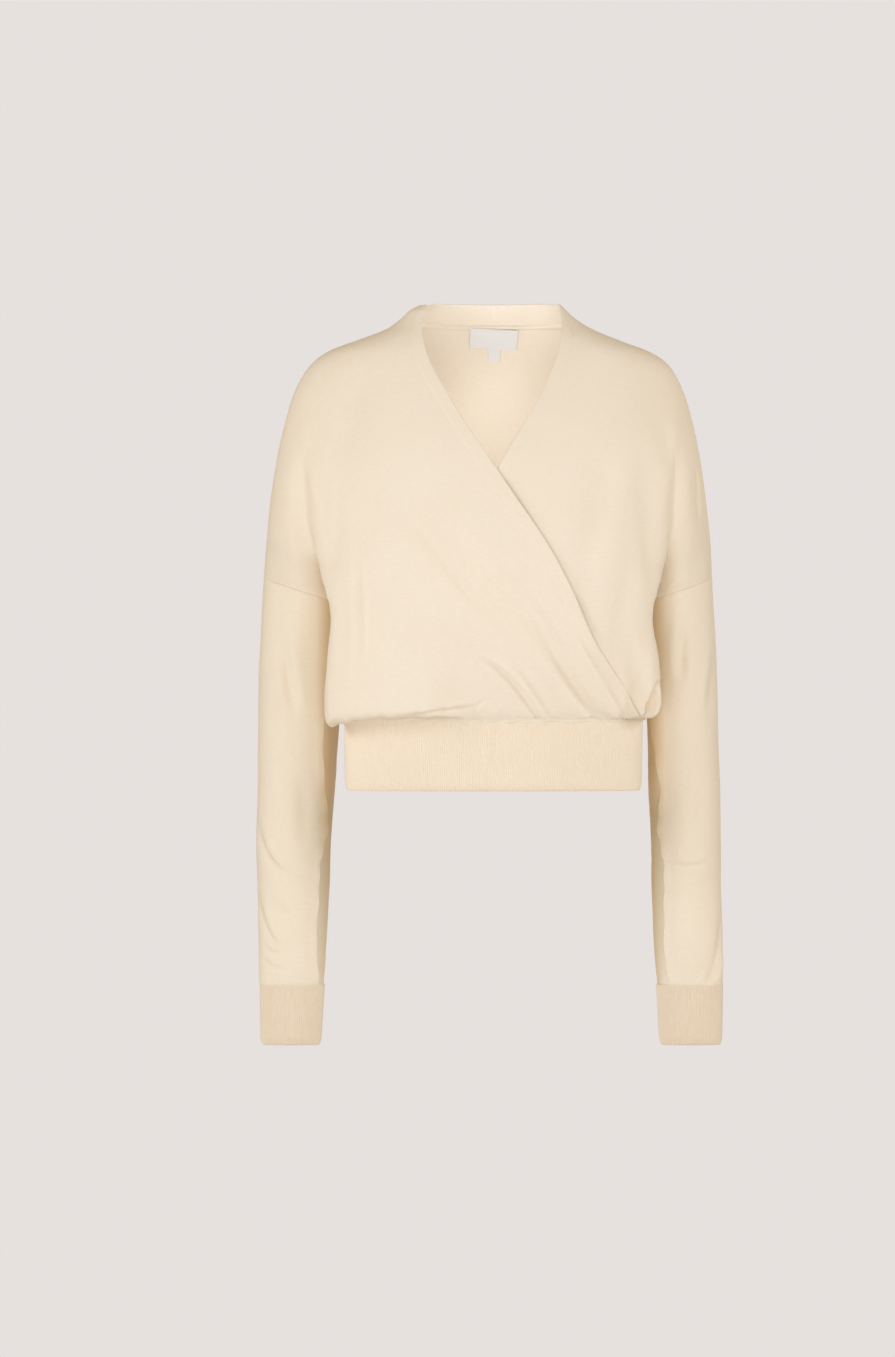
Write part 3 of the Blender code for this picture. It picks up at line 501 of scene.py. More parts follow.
def normals(grid, present):
    """Normal at each point of a grid, and how far its cells' normals agree there."""
    cells = np.cross(grid[1:, 1:] - grid[:-1, :-1], grid[1:, :-1] - grid[:-1, 1:])
    cells /= np.linalg.norm(cells, axis=2, keepdims=True).clip(1e-9)
    cells[~present] = 0.0
    total, count = np.zeros(grid.shape), np.zeros(grid.shape[:2])
    rows, columns = present.shape
    for dr, dc in ((0, 0), (0, 1), (1, 0), (1, 1)):
        total[dr : rows + dr, dc : columns + dc] += cells
        count[dr : rows + dr, dc : columns + dc] += present
    mean = total / count[:, :, None].clip(1)
    length = np.linalg.norm(mean, axis=2, keepdims=True).clip(1e-9)
    return mean / length, length


def upright_end(out):
    """Turns the normals level over the last rows, where a panel is linked to the waistband."""
    share = smooth(np.arange(2 * FINER) / (2.0 * FINER - 1))[:, None]
    out[-2 * FINER :, :, 2] *= 1.0 - share
    return out / np.linalg.norm(out, axis=2, keepdims=True).clip(1e-9)


def seam_fades(grid, shoulder, creases, seams):
    """How free the cloth is: 0 at a panel's shoulder seams, side seams and armholes, and, apart
    from those, 0 at its waist seam. creases are (column, direction of the arm)."""
    rows, columns = grid.shape[:2]
    down = FINER * (shoulder - 1)
    row, at = np.arange(rows)[:, None], np.arange(columns)[None, :]
    sides = np.ones((rows, columns))
    for seam in seams:
        sides *= np.where(row <= down, smooth(np.abs(at - seam) / SEAM_FADE), 1.0)
    for crease, arm in creases:
        beside = 1.0 - smooth(np.abs(at - crease) / CREASE_FADE)
        sides *= 1.0 - beside * smooth((row - down + WAIST_FADE) / WAIST_FADE)
        over_arm = smooth((at - crease) * arm / CREASE_FADE)
        sides *= 1.0 - over_arm * (1.0 - smooth((down - row) / SEAM_FADE))
    return sides, smooth((rows - 1 - row) / WAIST_FADE)


def even_out(grid, free):
    """Eases the step in a panel's shape where the shoulders' oval ends."""
    weights = np.hanning(2 * EVEN_ROWS + 3)[1:-1]
    padded = np.pad(grid, ((EVEN_ROWS, EVEN_ROWS), (0, 0), (0, 0)), mode="edge")
    level = sum(share * padded[k : k + len(grid)] for k, share in enumerate(weights / weights.sum()))
    near = np.exp(-(((grid[..., 2] - OVAL_BOTTOM_Z) / EVEN_REACH) ** 2)) * free
    grid = grid.copy()
    grid[..., :2] += (level - grid)[..., :2] * near[..., None]
    return grid


def folds(x, z, table):
    """Height of soft folds at places seen from the front, from a table like RIGHT_FOLDS."""
    total = np.zeros(x.shape)
    t = np.linspace(0, 1, FOLD_STEPS)
    for x0, z0, x1, z1, x2, z2, half, trough, ridge, runs_on in table:
        px = (1 - t) ** 2 * x0 + 2 * t * (1 - t) * (2 * x1 - (x0 + x2) / 2) + t**2 * x2
        pz = (1 - t) ** 2 * z0 + 2 * t * (1 - t) * (2 * z1 - (z0 + z2) / 2) + t**2 * z2
        dx, dz = np.gradient(px), np.gradient(pz)
        near = np.hypot(x[..., None] - px, z[..., None] - pz).argmin(-1)
        ax, az = x - px[near], z - pz[near]
        step = np.hypot(dx, dz)[near]
        off = (az * dx[near] - ax * dz[near]) / step
        along = t[near] + (ax * dx[near] + az * dz[near]) / step**2 * t[1]
        fade = smooth(along / FOLD_ENDS) * (1.0 if runs_on else smooth((1 - along) / FOLD_ENDS))
        beside = math.copysign(RIDGE_AWAY * half, ridge)
        total += fade * abs(ridge) * np.exp(-(((off - beside) / (RIDGE_WIDTH * half)) ** 2))
        total -= fade * trough * np.exp(-((off / half) ** 2))
    return total


def facing(out, way):
    """1 where the cloth faces the front (way -1) or the back (way 1), down to 0 at the sides."""
    return smooth((way * out[..., 1] - FACING_FROM) / FACING_REACH)


def ease(grid):
    """Slow unevenness of worn cloth, a fraction of a millimetre, in waves of uneven length."""
    x, y, z = np.moveaxis(grid, 2, 0)
    slow = np.sin(x / 31 + z / 57 + 1.3) * np.sin(z / 39 - x / 83 + y / 47)
    quick = np.sin(x / 17 - z / 23 + y / 19) * np.sin(z / 29 + x / 41)
    return UNEVEN[0] * slow + UNEVEN[1] * quick


def puckers(grid):
    """Small gathers where the body is linked to the waistband, running out above it."""
    x, _, z = np.moveaxis(grid, 2, 0)
    wave = np.sin(x / 2.9 + 1.3 * np.sin(x / 19)) + 0.6 * np.sin(x / 5.3 + 2.0)
    return PUCKER * wave * (1 - smooth((z - WAIST_SEAM_Z) / PUCKER_REACH))


def turned_edge(grid, reach):
    """1 on the turned edge of a front and 0 past it. reach is how many fine columns to look at."""
    away = np.full(grid.shape[:2], np.inf)
    for c in range(reach):
        gaps = np.linalg.norm(grid[:, c][:, None] - grid[None, :, 0], axis=2)
        away[:, c] = gaps.min(1)
    return 1.0 - smooth((away - EDGE_TURN + EDGE_STEP / 2) / EDGE_STEP)


def knit_map(grid, start):
    """Where each point lies on the flat panel, across the wales and along them."""
    across = np.linalg.norm(np.diff(grid, axis=1), axis=2)
    down = np.linalg.norm(np.diff(grid, axis=0), axis=2)
    u = start + np.concatenate([np.zeros((len(grid), 1)), np.cumsum(across, 1)], 1)
    v = -np.concatenate([np.zeros((1, grid.shape[1])), np.cumsum(down, 0)], 0)
    return np.stack([u, v], axis=2)


def math_node(tree, kind, *values):
    """A Math node and what feeds it: numbers or other nodes' outputs."""
    node = tree.nodes.new("ShaderNodeMath")
    node.operation = kind
    for socket, value in zip(node.inputs, values):
        if isinstance(value, (int, float)):
            socket.default_value = value
        else:
            tree.links.new(value, socket)
    return node.outputs[0]


def noise_node(tree, vector, scale):
    """A fine-grained Noise node's value."""
    node = tree.nodes.new("ShaderNodeTexNoise")
    node.inputs["Scale"].default_value = scale
    node.inputs["Detail"].default_value = 3.0
    tree.links.new(vector, node.inputs["Vector"])
    return node.outputs["Fac"]


def split_node(tree, vector):
    """The three parts of a vector."""
    node = tree.nodes.new("ShaderNodeSeparateXYZ")
    tree.links.new(vector, node.inputs["Vector"])
    return node.outputs


def new_finish(name):
    """A new material, its node tree, its shader, and the place on the flat cloth."""
    made = bpy.data.materials.new(name)
    made.use_nodes = True
    place = made.node_tree.nodes.new("ShaderNodeUVMap")
    place.uv_map = "knit"
    shader = made.node_tree.nodes["Principled BSDF"]
    return made, made.node_tree, shader, place.outputs["UV"]


def raise_threads(tree, shader, height, relief):
    """Bump of the given millimetres for threads that are too fine for the mesh."""
    bump = tree.nodes.new("ShaderNodeBump")
    bump.inputs["Distance"].default_value = relief * MM
    tree.links.new(height, bump.inputs["Height"])
    tree.links.new(bump.outputs["Normal"], shader.inputs["Normal"])


ARM_PAINTED_X = (0.11, 0.20)  # between these the body's colour turns to the painted shade of the arms
BODY_SHADE = (0.930, 0.825, 0.668)
# The arms' colour is painted shade, darker and yellower than the body's own.
ARM_PAINTED_SHADE = (0.925, 0.812, 0.640)
DARK_YARN = (0.950, 0.940, 0.915)
LIGHT_YARN = (1.035, 1.040, 1.055)
FIBRE_SCALE = 2400.0
PATCH_SCALE = 11.0  # slow changes of shade over the garment
SLUB_SCALE = (150.0, 420.0, 1.0)  # thick places in the yarn, wider than they are high
SHADE_START = -0.45
SHADE_SHARES = (0.5, 0.9, 0.25, 0.25)  # of the patches, the slubs, the stitches and the fibres
COURSE = 1.15  # height of a row of stitches


def knit(name, colour, shaded_colour, shaded_x, wale, relief):
    """Plain knit in matt yarn: rows of small Vs that follow the cloth, in wales of the given
    millimetres, with a fine halo of fibres, slubs and slow changes of shade. Across x its colour
    turns to shaded_colour, a painted shade, between the two distances in shaded_x."""
    made, tree, shader, place = new_finish(name)
    solid = tree.nodes.new("ShaderNodeTexCoord").outputs["Object"]
    u, v, _ = split_node(tree, place)

    column = math_node(tree, "MULTIPLY", u, 1.0 / (wale * MM))
    leg = math_node(tree, "FRACT", column)
    leg = math_node(tree, "ABSOLUTE", math_node(tree, "SUBTRACT", leg, 0.5))
    row = math_node(tree, "MULTIPLY_ADD", v, 1.0 / (COURSE * MM), leg)
    across = math_node(tree, "SINE", math_node(tree, "MULTIPLY", leg, 2 * math.pi))
    along = math_node(tree, "COSINE", math_node(tree, "MULTIPLY", row, 2 * math.pi))
    stitch = math_node(tree, "MULTIPLY", across, math_node(tree, "MULTIPLY_ADD", along, 0.3, 0.7))
    fibre = noise_node(tree, place, FIBRE_SCALE)
    height = math_node(tree, "MULTIPLY_ADD", fibre, 0.6, stitch)

    patch = noise_node(tree, solid, PATCH_SCALE)
    stretched = tree.nodes.new("ShaderNodeMapping")
    stretched.inputs["Scale"].default_value = SLUB_SCALE
    tree.links.new(place, stretched.inputs["Vector"])
    slub = noise_node(tree, stretched.outputs["Vector"], 1.0)
    shade = SHADE_START
    for cause, share in zip((patch, slub, stitch, fibre), SHADE_SHARES):
        shade = math_node(tree, "MULTIPLY_ADD", cause, share, shade)
    # Towards the sides the colour turns to its painted shade.
    beside = math_node(tree, "ABSOLUTE", split_node(tree, solid)["X"])
    painted_shade_share = tree.nodes.new("ShaderNodeMapRange")
    painted_shade_share.inputs["From Min"].default_value, painted_shade_share.inputs["From Max"].default_value = shaded_x
    tree.links.new(beside, painted_shade_share.inputs["Value"])
    heather = tree.nodes.new("ShaderNodeMixRGB")
    heather.use_clamp = True
    tree.links.new(shade, heather.inputs["Fac"])
    # Each tint mixes the cloth's own colour with its painted shade.
    for socket, tints in (("Color1", DARK_YARN), ("Color2", LIGHT_YARN)):
        yarn = tree.nodes.new("ShaderNodeMixRGB")
        for end, base in (("Color1", colour), ("Color2", shaded_colour)):
            tinted = [channel * tint for channel, tint in zip(base, tints)]
            yarn.inputs[end].default_value = (*tinted, 1.0)
        tree.links.new(painted_shade_share.outputs["Result"], yarn.inputs["Fac"])
        tree.links.new(yarn.outputs["Color"], heather.inputs[socket])
    tree.links.new(heather.outputs["Color"], shader.inputs["Base Color"])

    rough = math_node(tree, "MULTIPLY_ADD", fibre, 0.2, 0.72)
    tree.links.new(rough, shader.inputs["Roughness"])
    shader.inputs["Specular IOR Level"].default_value = 0.12
    shader.inputs["Sheen Weight"].default_value = 0.12
    shader.inputs["Sheen Roughness"].default_value = 0.5
    shader.inputs["Sheen Tint"].default_value = (1.0, 0.93, 0.80, 1.0)
    raise_threads(tree, shader, height, relief)
    return made


def add_mesh(name, points, faces, flat, finish):
    """An object from points and places on the flat cloth, both in millimetres."""
    mesh = bpy.data.meshes.new(name)
    mesh.from_pydata((points * MM).tolist(), [], faces)
    corners = np.zeros(len(mesh.loops), int)
    mesh.loops.foreach_get("vertex_index", corners)
    layer = mesh.uv_layers.new(name="knit")
    layer.data.foreach_set("uv", (flat[corners] * MM).ravel())
    mesh.materials.append(finish)
    mesh.shade_smooth()
    made = bpy.data.objects.new(name, mesh)
    scene.collection.objects.link(made)
    return made


RIM_STEPS = (0.7, 1.571, 2.442)  # how a rim goes round from the outside to the inside


def add_sheet(name, grid, present, places, finish, turn, wall=WALL):
    """A panel of cloth from its outer points: a wall behind them and rounded rims all round. turn
    is 1 where the grid's own normals point out of the garment, and -1 where they point in."""
    out, length = normals(grid, present)
    behind = grid - turn * out * wall / length.clip(THINNEST_CREASE)
    rows, columns = present.shape
    used = np.zeros((rows + 1, columns + 1), bool)
    for dr in (0, 1):
        for dc in (0, 1):
            used[dr : rows + dr, dc : columns + dc] |= present
    index = -np.ones(used.shape, int)
    index[used] = np.arange(used.sum())
    count = int(used.sum())
    outer, inner, flat = grid[used], behind[used], places[used]
    r, c = np.nonzero(present)
    cells = np.column_stack([index[r, c], index[r, c + 1], index[r + 1, c + 1], index[r + 1, c]])
    middle = outer[cells].mean(1)

    past = np.zeros((count, 3))
    wide = np.pad(present, 1)
    edges = []
    for k, (dr, dc) in enumerate(((-1, 0), (0, 1), (1, 0), (0, -1))):
        free = ~wide[r + 1 + dr, c + 1 + dc]
        a, b = cells[free, k], cells[free, (k + 1) % 4]
        edge = outer[b] - outer[a]
        away = (outer[a] + outer[b]) / 2 - middle[free]
        size = (edge**2).sum(1, keepdims=True).clip(1e-9)
        away -= edge * (away * edge).sum(1, keepdims=True) / size
        away /= np.linalg.norm(away, axis=1, keepdims=True).clip(1e-9)
        np.add.at(past, a, away)
        np.add.at(past, b, away)
        edges.append(np.column_stack([a, b]))
    edges = np.vstack(edges)
    rim = np.unique(edges)
    place_of = np.zeros(count, int)
    place_of[rim] = np.arange(len(rim))
    past = past[rim] / np.linalg.norm(past[rim], axis=1, keepdims=True).clip(1e-9)
    centre, half = (outer[rim] + inner[rim]) / 2, (outer[rim] - inner[rim]) / 2
    past = past * np.linalg.norm(half, axis=1, keepdims=True)
    rings = [centre + half * math.cos(angle) + past * math.sin(angle) for angle in RIM_STEPS]

    a, b = edges.T
    loops = [(a, b)]
    for k in range(len(rings)):
        start = 2 * count + k * len(rim)
        loops.append((start + place_of[a], start + place_of[b]))
    loops.append((a + count, b + count))
    faces = [cells, cells[:, ::-1] + count]
    for (a0, b0), (a1, b1) in zip(loops[:-1], loops[1:]):
        faces.append(np.column_stack([b0, a0, a1, b1]))
    faces = np.vstack(faces)
    if turn < 0:
        faces = faces[:, ::-1]
    points = np.vstack([outer, inner, *rings])
    flat = np.vstack([flat, flat, *([flat[rim]] * len(rings))])
    return add_mesh(name, points, faces.tolist(), flat, finish)


def front_panel(side, edge, columns):
    """A front before its folds, its edge first, then chest and arm: its fine grid and mask, its
    places on the flat cloth, its normals out of the garment, and how free it is."""
    grid = []
    for z in SHOULDER_ROWS:
        level = torso_z(z)
        chest = front_row(side, level, from_table(edge, level)[0], columns)
        grid.append(np.vstack([chest, arm_row(side, z, "front crease")[1:]]))
    spare = grid[-1][columns + 1 :]
    for z in BODY_ROWS:
        grid.append(np.vstack([front_row(side, z, from_table(edge, z)[0], columns), spare]))
    for row in roll_rows(True, columns, edge, side):
        grid.append(np.vstack([row, spare]))
    grid, present = fine_panel(np.array(grid), len(SHOULDER_ROWS), False, True)
    x, y, z = np.moveaxis(grid[FINER * len(SHOULDER_ROWS) :], 2, 0)
    start, rise, fall, end = PULLED_FLAT
    share = smooth((x - start) / (rise - start)) * smooth((end - x) / (end - fall))
    share *= smooth((SIDE_Y[0] - y) / (SIDE_Y[0] - SIDE_Y[1]))
    halves = [section(half, PULL_TOP_Z, "centre front", "chest side") for half in (-1, 1)]
    upper = np.vstack([halves[0][:0:-1], halves[1]])
    upper = np.interp(x, upper[:, 0], upper[:, 1])
    band, _ = even_ring(BAND_CENTRE, BAND_HALF, BAND_POWER, RING_POINTS)
    band = band[band[:, 1] < BAND_CENTRE[1]]
    lower = np.interp(x, band[:, 0], band[:, 1])
    down = ((PULL_TOP_Z - z) / (PULL_TOP_Z - WAIST_SEAM_Z)).clip(0, 1)
    y += (upper + (lower - upper) * down**PULL_CURVE - y) * share
    near = 1 - smooth((z - WAIST_SEAM_Z) / SEAM_WAVE_REACH)
    z += near * SEAM_WAVE * np.sin(x / 4.7 + 2.0 * np.sin(x / 23.0))
    y -= near * SEAM_PROUD * share
    places = knit_map(grid, side * grid[:, :1, 0])
    last = grid.shape[1] - 1
    sides, waist = seam_fades(grid, len(SHOULDER_ROWS), [(FINER * columns, 1)], [last])
    grid = even_out(grid, sides)
    out = upright_end(-side * normals(grid, present)[0])
    return grid, present, places, out, sides, waist


def dress(piece, node):
    """Ties a finished piece to the body it rides on, and hides the solid it replaces."""
    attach(piece, "root")
    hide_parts(node)


JERSEY_WALE = 1.5
JERSEY_RELIEF = 0.10
body_knit = knit("body_knit", BODY_SHADE, ARM_PAINTED_SHADE, ARM_PAINTED_X, JERSEY_WALE, JERSEY_RELIEF)

grid, present, places, out, sides, waist = front_panel(-1, OUTER_EDGE, RIGHT_COLUMNS)
x, z = grid[..., 0], grid[..., 2]
layer = LAYER * (1 - FLUSH * (1 - smooth((z - WAIST_SEAM_Z) / FLUSH_REACH)))
lift = layer * smooth((x - LAYER_START_X) / LAYER_REACH) * sides
calm = CALM + (1 - CALM) * smooth((z - WAIST_SEAM_Z - CALM_FROM) / CALM_REACH)
lift += folds(x, z, RIGHT_FOLDS) * facing(out, -1) * calm * sides * waist
lift += ease(grid) * sides * waist
lift += puckers(grid) * sides
stand_off = sum(high * np.exp(-(((z - middle) / tall) ** 2)) for middle, tall, high in EDGE_GAPS)
lift += (EDGE_RISE + stand_off) * turned_edge(grid, FINER * RIGHT_COLUMNS // 3)
grid = grid + out * lift[..., None]
front_right = add_sheet("front_right_knit", grid, present, places, body_knit, 1)
dress(front_right, "front_right")

# ---------------------------------------------------------------- the left front
# The front that lies below, cut like the other one and mirrored. Its edge shows at the neck, then
# runs on out of sight under the right front to the right hip. It falls back a little under the
# right front's edge, and stands open in a small hollow at its side above the waistband.

LEFT_COLUMNS = 30
INNER_EDGE = [
    # z, x
    (0, 73), (-21, 76), (-48, 73), (-72, 65), (-99, 53), (-137, 31), (-168, 13),
    (-181, 6), (-218, -20), (-257, -46), (-308, -73), (-364, -101), (-404, -122), (-446, -146),
]
CROSSING_Z = -181.0
SINK = 8.0  # how far the hidden part lies behind the right front
SINK_REACH = 40.0
SINK_AT_SEAM = 1.5
SEAM_REACH = 35.0
HIDDEN_FADE = 20.0
HOLLOW = [
    # the columns of RIGHT_FOLDS, with the place round the body's corner for x
    (42, -466, 62, -430, 77, -400, 5.6, 20.0, -3.6, 0),
]
HOLLOW_WAY = (0.62, -0.72, -0.3)  # out of the body's corner, and a little down
HOLLOW_X = (120.0, 140.0)  # the hollow deepens between these
HOLLOW_HELD = 4.0 * FINER  # rows above the waist seam over which it is held
SIDE_FULL = 4.0  # how much the left front fills out at its side
SIDE_FULL_X = (130.0, 180.0)
SIDE_FULL_Z = (-390.0, 40.0)  # middle and reach
LEFT_FOLDS = [
    # x0, z0, x1, z1, x2, z2, half width, trough, ridge, runs on
    (131, -150, 109, -240, 84, -318, 13.0, 4.6, 1.6, 0),
    (153, -255, 138, -338, 140, -424, 9.0, 2.6, 1.6, 0),
    (83, -300, 101, -340, 119, -376, 4.0, 2.6, 0.0, 0),
    (199, -95, 190, -166, 180, -235, 7.0, -3.2, 0.0, 0),
    (160, -130, 167, -240, 174, -335, 10.0, 3.6, 0.0, 0),
    (205, -120, 201, -198, 194, -280, 7.0, 0.9, 0.0, 0),
    (154, -46, 154, -57, 154, -67, 1.6, 0.5, 0.0, 0),
]

grid, present, places, out, sides, waist = front_panel(1, INNER_EDGE, LEFT_COLUMNS)
x, z = grid[..., 0], grid[..., 2]
heights = np.linspace(WAIST_SEAM_Z, 0, 150)
edges = [from_table(OUTER_EDGE, height)[0] for height in heights]
hidden = np.where(z < CROSSING_Z, np.interp(z, heights, edges) - x, 0.0)
sink = SINK_AT_SEAM + (SINK - SINK_AT_SEAM) * smooth((z - WAIST_SEAM_Z) / SEAM_REACH)
lift = LAYER * (smooth((x - LAYER_START_X) / LAYER_REACH) - 1.0) - sink * smooth(hidden / SINK_REACH)
seen = 1.0 - smooth(hidden / HIDDEN_FADE)
lift += (folds(x, z, LEFT_FOLDS) * facing(out, -1) + ease(grid)) * waist * seen
lift += puckers(grid) * seen
lift *= sides
lift += EDGE_RISE * turned_edge(grid, FINER * LEFT_COLUMNS // 3) * seen
grid = grid + out * lift[..., None]
round_corner = (grid[..., 0] + grid[..., 1]) / math.sqrt(2)
on_corner = smooth((grid[..., 0] - HOLLOW_X[0]) / (HOLLOW_X[1] - HOLLOW_X[0]))
on_corner *= smooth((2 * out[..., 0] - out[..., 1]) / 0.6)
held = smooth(np.arange(len(grid))[::-1] / HOLLOW_HELD)[:, None]
deep = folds(round_corner, z, HOLLOW) * on_corner * sides * held
grid += np.array(HOLLOW_WAY) * deep[..., None]
full = SIDE_FULL * smooth((x - SIDE_FULL_X[0]) / (SIDE_FULL_X[1] - SIDE_FULL_X[0]))
full *= np.exp(-(((z - SIDE_FULL_Z[0]) / SIDE_FULL_Z[1]) ** 2))
grid[..., 0] += full * sides
front_left = add_sheet("front_left_knit", grid, present, places, body_knit, -1)
dress(front_left, "front_left")

# ---------------------------------------------------------------- the back
# One wide panel of the same jersey with the backs of both dropped shoulders knitted on, from the
# foot of the neckband to the waistband. It is linked to the fronts along the shoulders and the
# sides, and blouses over the waistband in soft upright folds.

BACK_COLUMNS = 28
NECK_STAND = 24.0
NECK_RISE = 3.2  # how much higher the back of the neck stands than its sides
NECK_RISE_Y = (8.0, 53.0)
NECK_RISE_Z = (-80.0, -25.0)
BACK_FOLDS = [
    # x0, z0, x1, z1, x2, z2, half width, trough, ridge, runs on
    (-168, -150, -150, -230, -146, -315, 9.0, 2.6, 1.4, 0),
    (168, -150, 150, -230, 146, -315, 9.0, 2.6, -1.4, 0),
    (-146, -300, -110, -350, -86, -408, 8.0, 2.4, 1.6, 0),
    (144, -310, 112, -362, 94, -415, 8.0, 2.2, -1.5, 0),
    (-52, -352, -47, -392, -50, -436, 7.0, 2.2, 1.6, 0),
    (-8, -368, -4, -402, -6, -438, 6.0, 1.8, 1.2, 0),
    (44, -346, 49, -390, 46, -436, 7.0, 2.4, -1.5, 0),
    (-206, -140, -202, -200, -198, -260, 8.0, 2.0, 0.0, 0),
    (204, -140, 200, -200, 196, -260, 8.0, 2.0, 0.0, 0),
]


def across_back(level):
    """One row across the back at a height on the body, from its right side to its left one."""
    right = section(-1, level, "back crease", "centre back")
    left = section(1, level, "centre back", "back crease")
    row = resample(np.vstack([right[:-1], left]), BACK_COLUMNS)
    return np.column_stack([row, np.full(len(row), level)])


def back_row(z):
    """One row of the back, over the right arm, across the back and over the left arm."""
    arms = [arm_row(side, z, "back crease") for side in (-1, 1)]
    return np.vstack([arms[0][:0:-1], across_back(torso_z(z)), arms[1][1:]])


def stand_up(points):
    """Raises the back of the neck."""
    points = np.array(points, float)
    y, z = points[..., 1], points[..., 2]
    upper = smooth((z - NECK_RISE_Z[0]) / (NECK_RISE_Z[1] - NECK_RISE_Z[0]))
    rear = smooth((y - NECK_RISE_Y[0]) / (NECK_RISE_Y[1] - NECK_RISE_Y[0]))
    points[..., 2] += NECK_RISE * rear * upper
    return points


shoulder_rows = [-NECK_STAND] + [z for z in SHOULDER_ROWS if z < -NECK_STAND - 1]
grid = [back_row(z) for z in shoulder_rows]
ends = grid[-1][:ARM_COLUMNS], grid[-1][-ARM_COLUMNS:]
body_rows = [across_back(z) for z in BODY_ROWS]
for row in body_rows + roll_rows(False, BACK_COLUMNS, None, 0):
    grid.append(np.vstack([ends[0], row, ends[1]]))
grid, present = fine_panel(np.array(grid), len(shoulder_rows), True, True)
first, last = FINER * ARM_COLUMNS, grid.shape[1] - 1 - FINER * ARM_COLUMNS
places = knit_map(grid, grid[:, :1, 0])
sides, waist = seam_fades(
    grid, len(shoulder_rows), [(first, -1), (last, 1)], [0, grid.shape[1] - 1]
)
sides *= smooth(np.arange(len(grid)) / SEAM_FADE)[:, None]
grid = even_out(grid, sides)
out = upright_end(normals(grid, present)[0])
x, z = grid[..., 0], grid[..., 2]
lift = (folds(x, z, BACK_FOLDS) * facing(out, 1) + ease(grid)) * waist
lift = (lift + puckers(grid)) * sides
grid = grid + out * lift[..., None]
back = add_sheet("back_knit", stand_up(grid), present, places, body_knit, 1)
dress(back, "back")

# ---------------------------------------------------------------- the neckbands
# Behind the neck the turned edges of both fronts run on as a standing band, 24 mm high and folded
# double, joined at the centre back. A narrow strip of linking covers the seam to the back on the
# inside.

NECK_COLUMNS = 56
NECKBAND = [
    # z, how far in from the outside: up the outside, over the fold, down the inside
    (-24.0, 0.3), (-23.0, -0.1), (-20.0, -0.2), (-15.0, -0.2), (-10.0, -0.2), (-6.0, -0.2),
    (-3.0, -0.1), (-1.2, 0.0), (-0.35, 0.4), (0.0, 1.0), (-0.35, 1.6), (-1.2, 2.0), (-3.0, 2.1),
    (-6.0, 2.2), (-10.0, 2.2), (-15.0, 2.2), (-20.0, 2.2), (-21.4, 2.0), (-22.0, 1.6),
    (-22.5, 1.9), (-23.0, 2.8), (-23.6, 3.2), (-24.7, 3.3), (-25.8, 3.2), (-26.5, 2.8),
    (-26.9, 2.1), (-26.5, 1.7), (-25.2, 1.6), (-24.4, 1.6), (-24.1, 1.0),
]
JOIN_GAP = 0.03

for side, word in ((-1, "right"), (1, "left")):
    rings = []
    for z, inward in NECKBAND:
        path = resample(section(side, z, "centre back", "shoulder line"), NECK_COLUMNS)
        along = np.gradient(path, axis=0)
        inside = np.column_stack([along[:, 1], -along[:, 0]]) * side
        inside /= np.linalg.norm(inside, axis=1, keepdims=True)
        inside[0] = (0, -1)
        inside[-1] = (-side, 0)
        path = path + inside * inward
        path[:, 0] += side * JOIN_GAP * (1 - smooth(np.arange(NECK_COLUMNS + 1) / SEAM_FADE))
        rings.append(np.column_stack([path, np.full(len(path), z)]))
    rings = stand_up(rings)
    count, wide = rings.shape[:2]
    k, c = np.indices((count, wide - 1)).reshape(2, -1)
    n = (k + 1) % count
    faces = np.column_stack([k * wide + c, k * wide + c + 1, n * wide + c + 1, n * wide + c])
    caps = [list(range(0, count * wide, wide)), list(range(wide - 1, count * wide, wide))[::-1]]
    faces = faces.tolist() + caps
    if side > 0:
        faces = [face[::-1] for face in faces]
    up = np.cumsum(np.linalg.norm(np.diff(rings, axis=0), axis=2).mean(1))
    round_neck = np.cumsum(np.linalg.norm(np.diff(rings[0], axis=0), axis=1))
    v, u = np.meshgrid([0, *up], [0, *round_neck], indexing="ij")
    flat = np.column_stack([u.ravel(), v.ravel()])
    band = add_mesh("neckband_%s_knit" % word, rings.reshape(-1, 3), faces, flat, body_knit)
    for edge in band.data.edges:
        edge.use_edge_sharp = {corner % wide for corner in edge.vertices} in ({0}, {wide - 1})
    dress(band, "neckband_" + word)

# ---------------------------------------------------------------- the sleeves
# Long straight sleeves of the same yarn, coloured a little darker than the body as painted shade,
# and darker still on their inner sides, also painted shade. Each is one panel, closed by a linked
# seam that starts at the underarm and comes round to the inner front of the arm, where the cloth
# turns back. They step in at the elbow and gather slightly into the cuffs.

SLEEVE = [
    # z, right outer, right inner, left outer, left inner, middle y, half depth
    (-289, 244, 148, 238, 148, 35, 51),
    (-325, 246, 150, 240, 152, 36, 51),
    (-380, 249, 155, 243, 159, 39, 50),
    (-446, 250, 160, 245, 166, 42, 49),
    (-520, 251, 165, 247, 168, 42, 47),
    (-585, 252, 169.5, 248, 170.7, 39, 45),
    (-622, 251, 171, 248, 171.3, 37, 39),
    (-680, 250, 174, 249, 173, 30, 30),
    (-729, 249, 177, 249, 176, 28, 21),
]
CUFF = [
    # z, right outer, right inner, left outer, left inner, middle y, half depth
    (-729, 248, 179, 249, 178, 28, 20),
    (-794, 247, 183, 248, 182, 26, 18),
]
SEAM_TURN = [
    # z, how far round from the inner side to the front the underarm seam lies, right and left
    (-289, 15, 15), (-325, 15, 15), (-400, 42, 26), (-451, 56, 31), (-492, 53, 45),
    (-523, 46, 51), (-560, 36, 42), (-599, 49, 53), (-640, 50, 53), (-696, 49, 50), (-729, 38, 55),
]
SLEEVE_ROWS = 30
SEAM_GROOVE = 1.4
EASE_Z = (-325, -430)  # between these the sleeve leaves the armhole's shape
SEAM_CORNER = 0.75  # how flat the cloth lies from the seam round to the inner side
CORNER_END = 20.0
CUFF_SEAM_Z = -729.0
CUFF_HEM_Z = -794.0
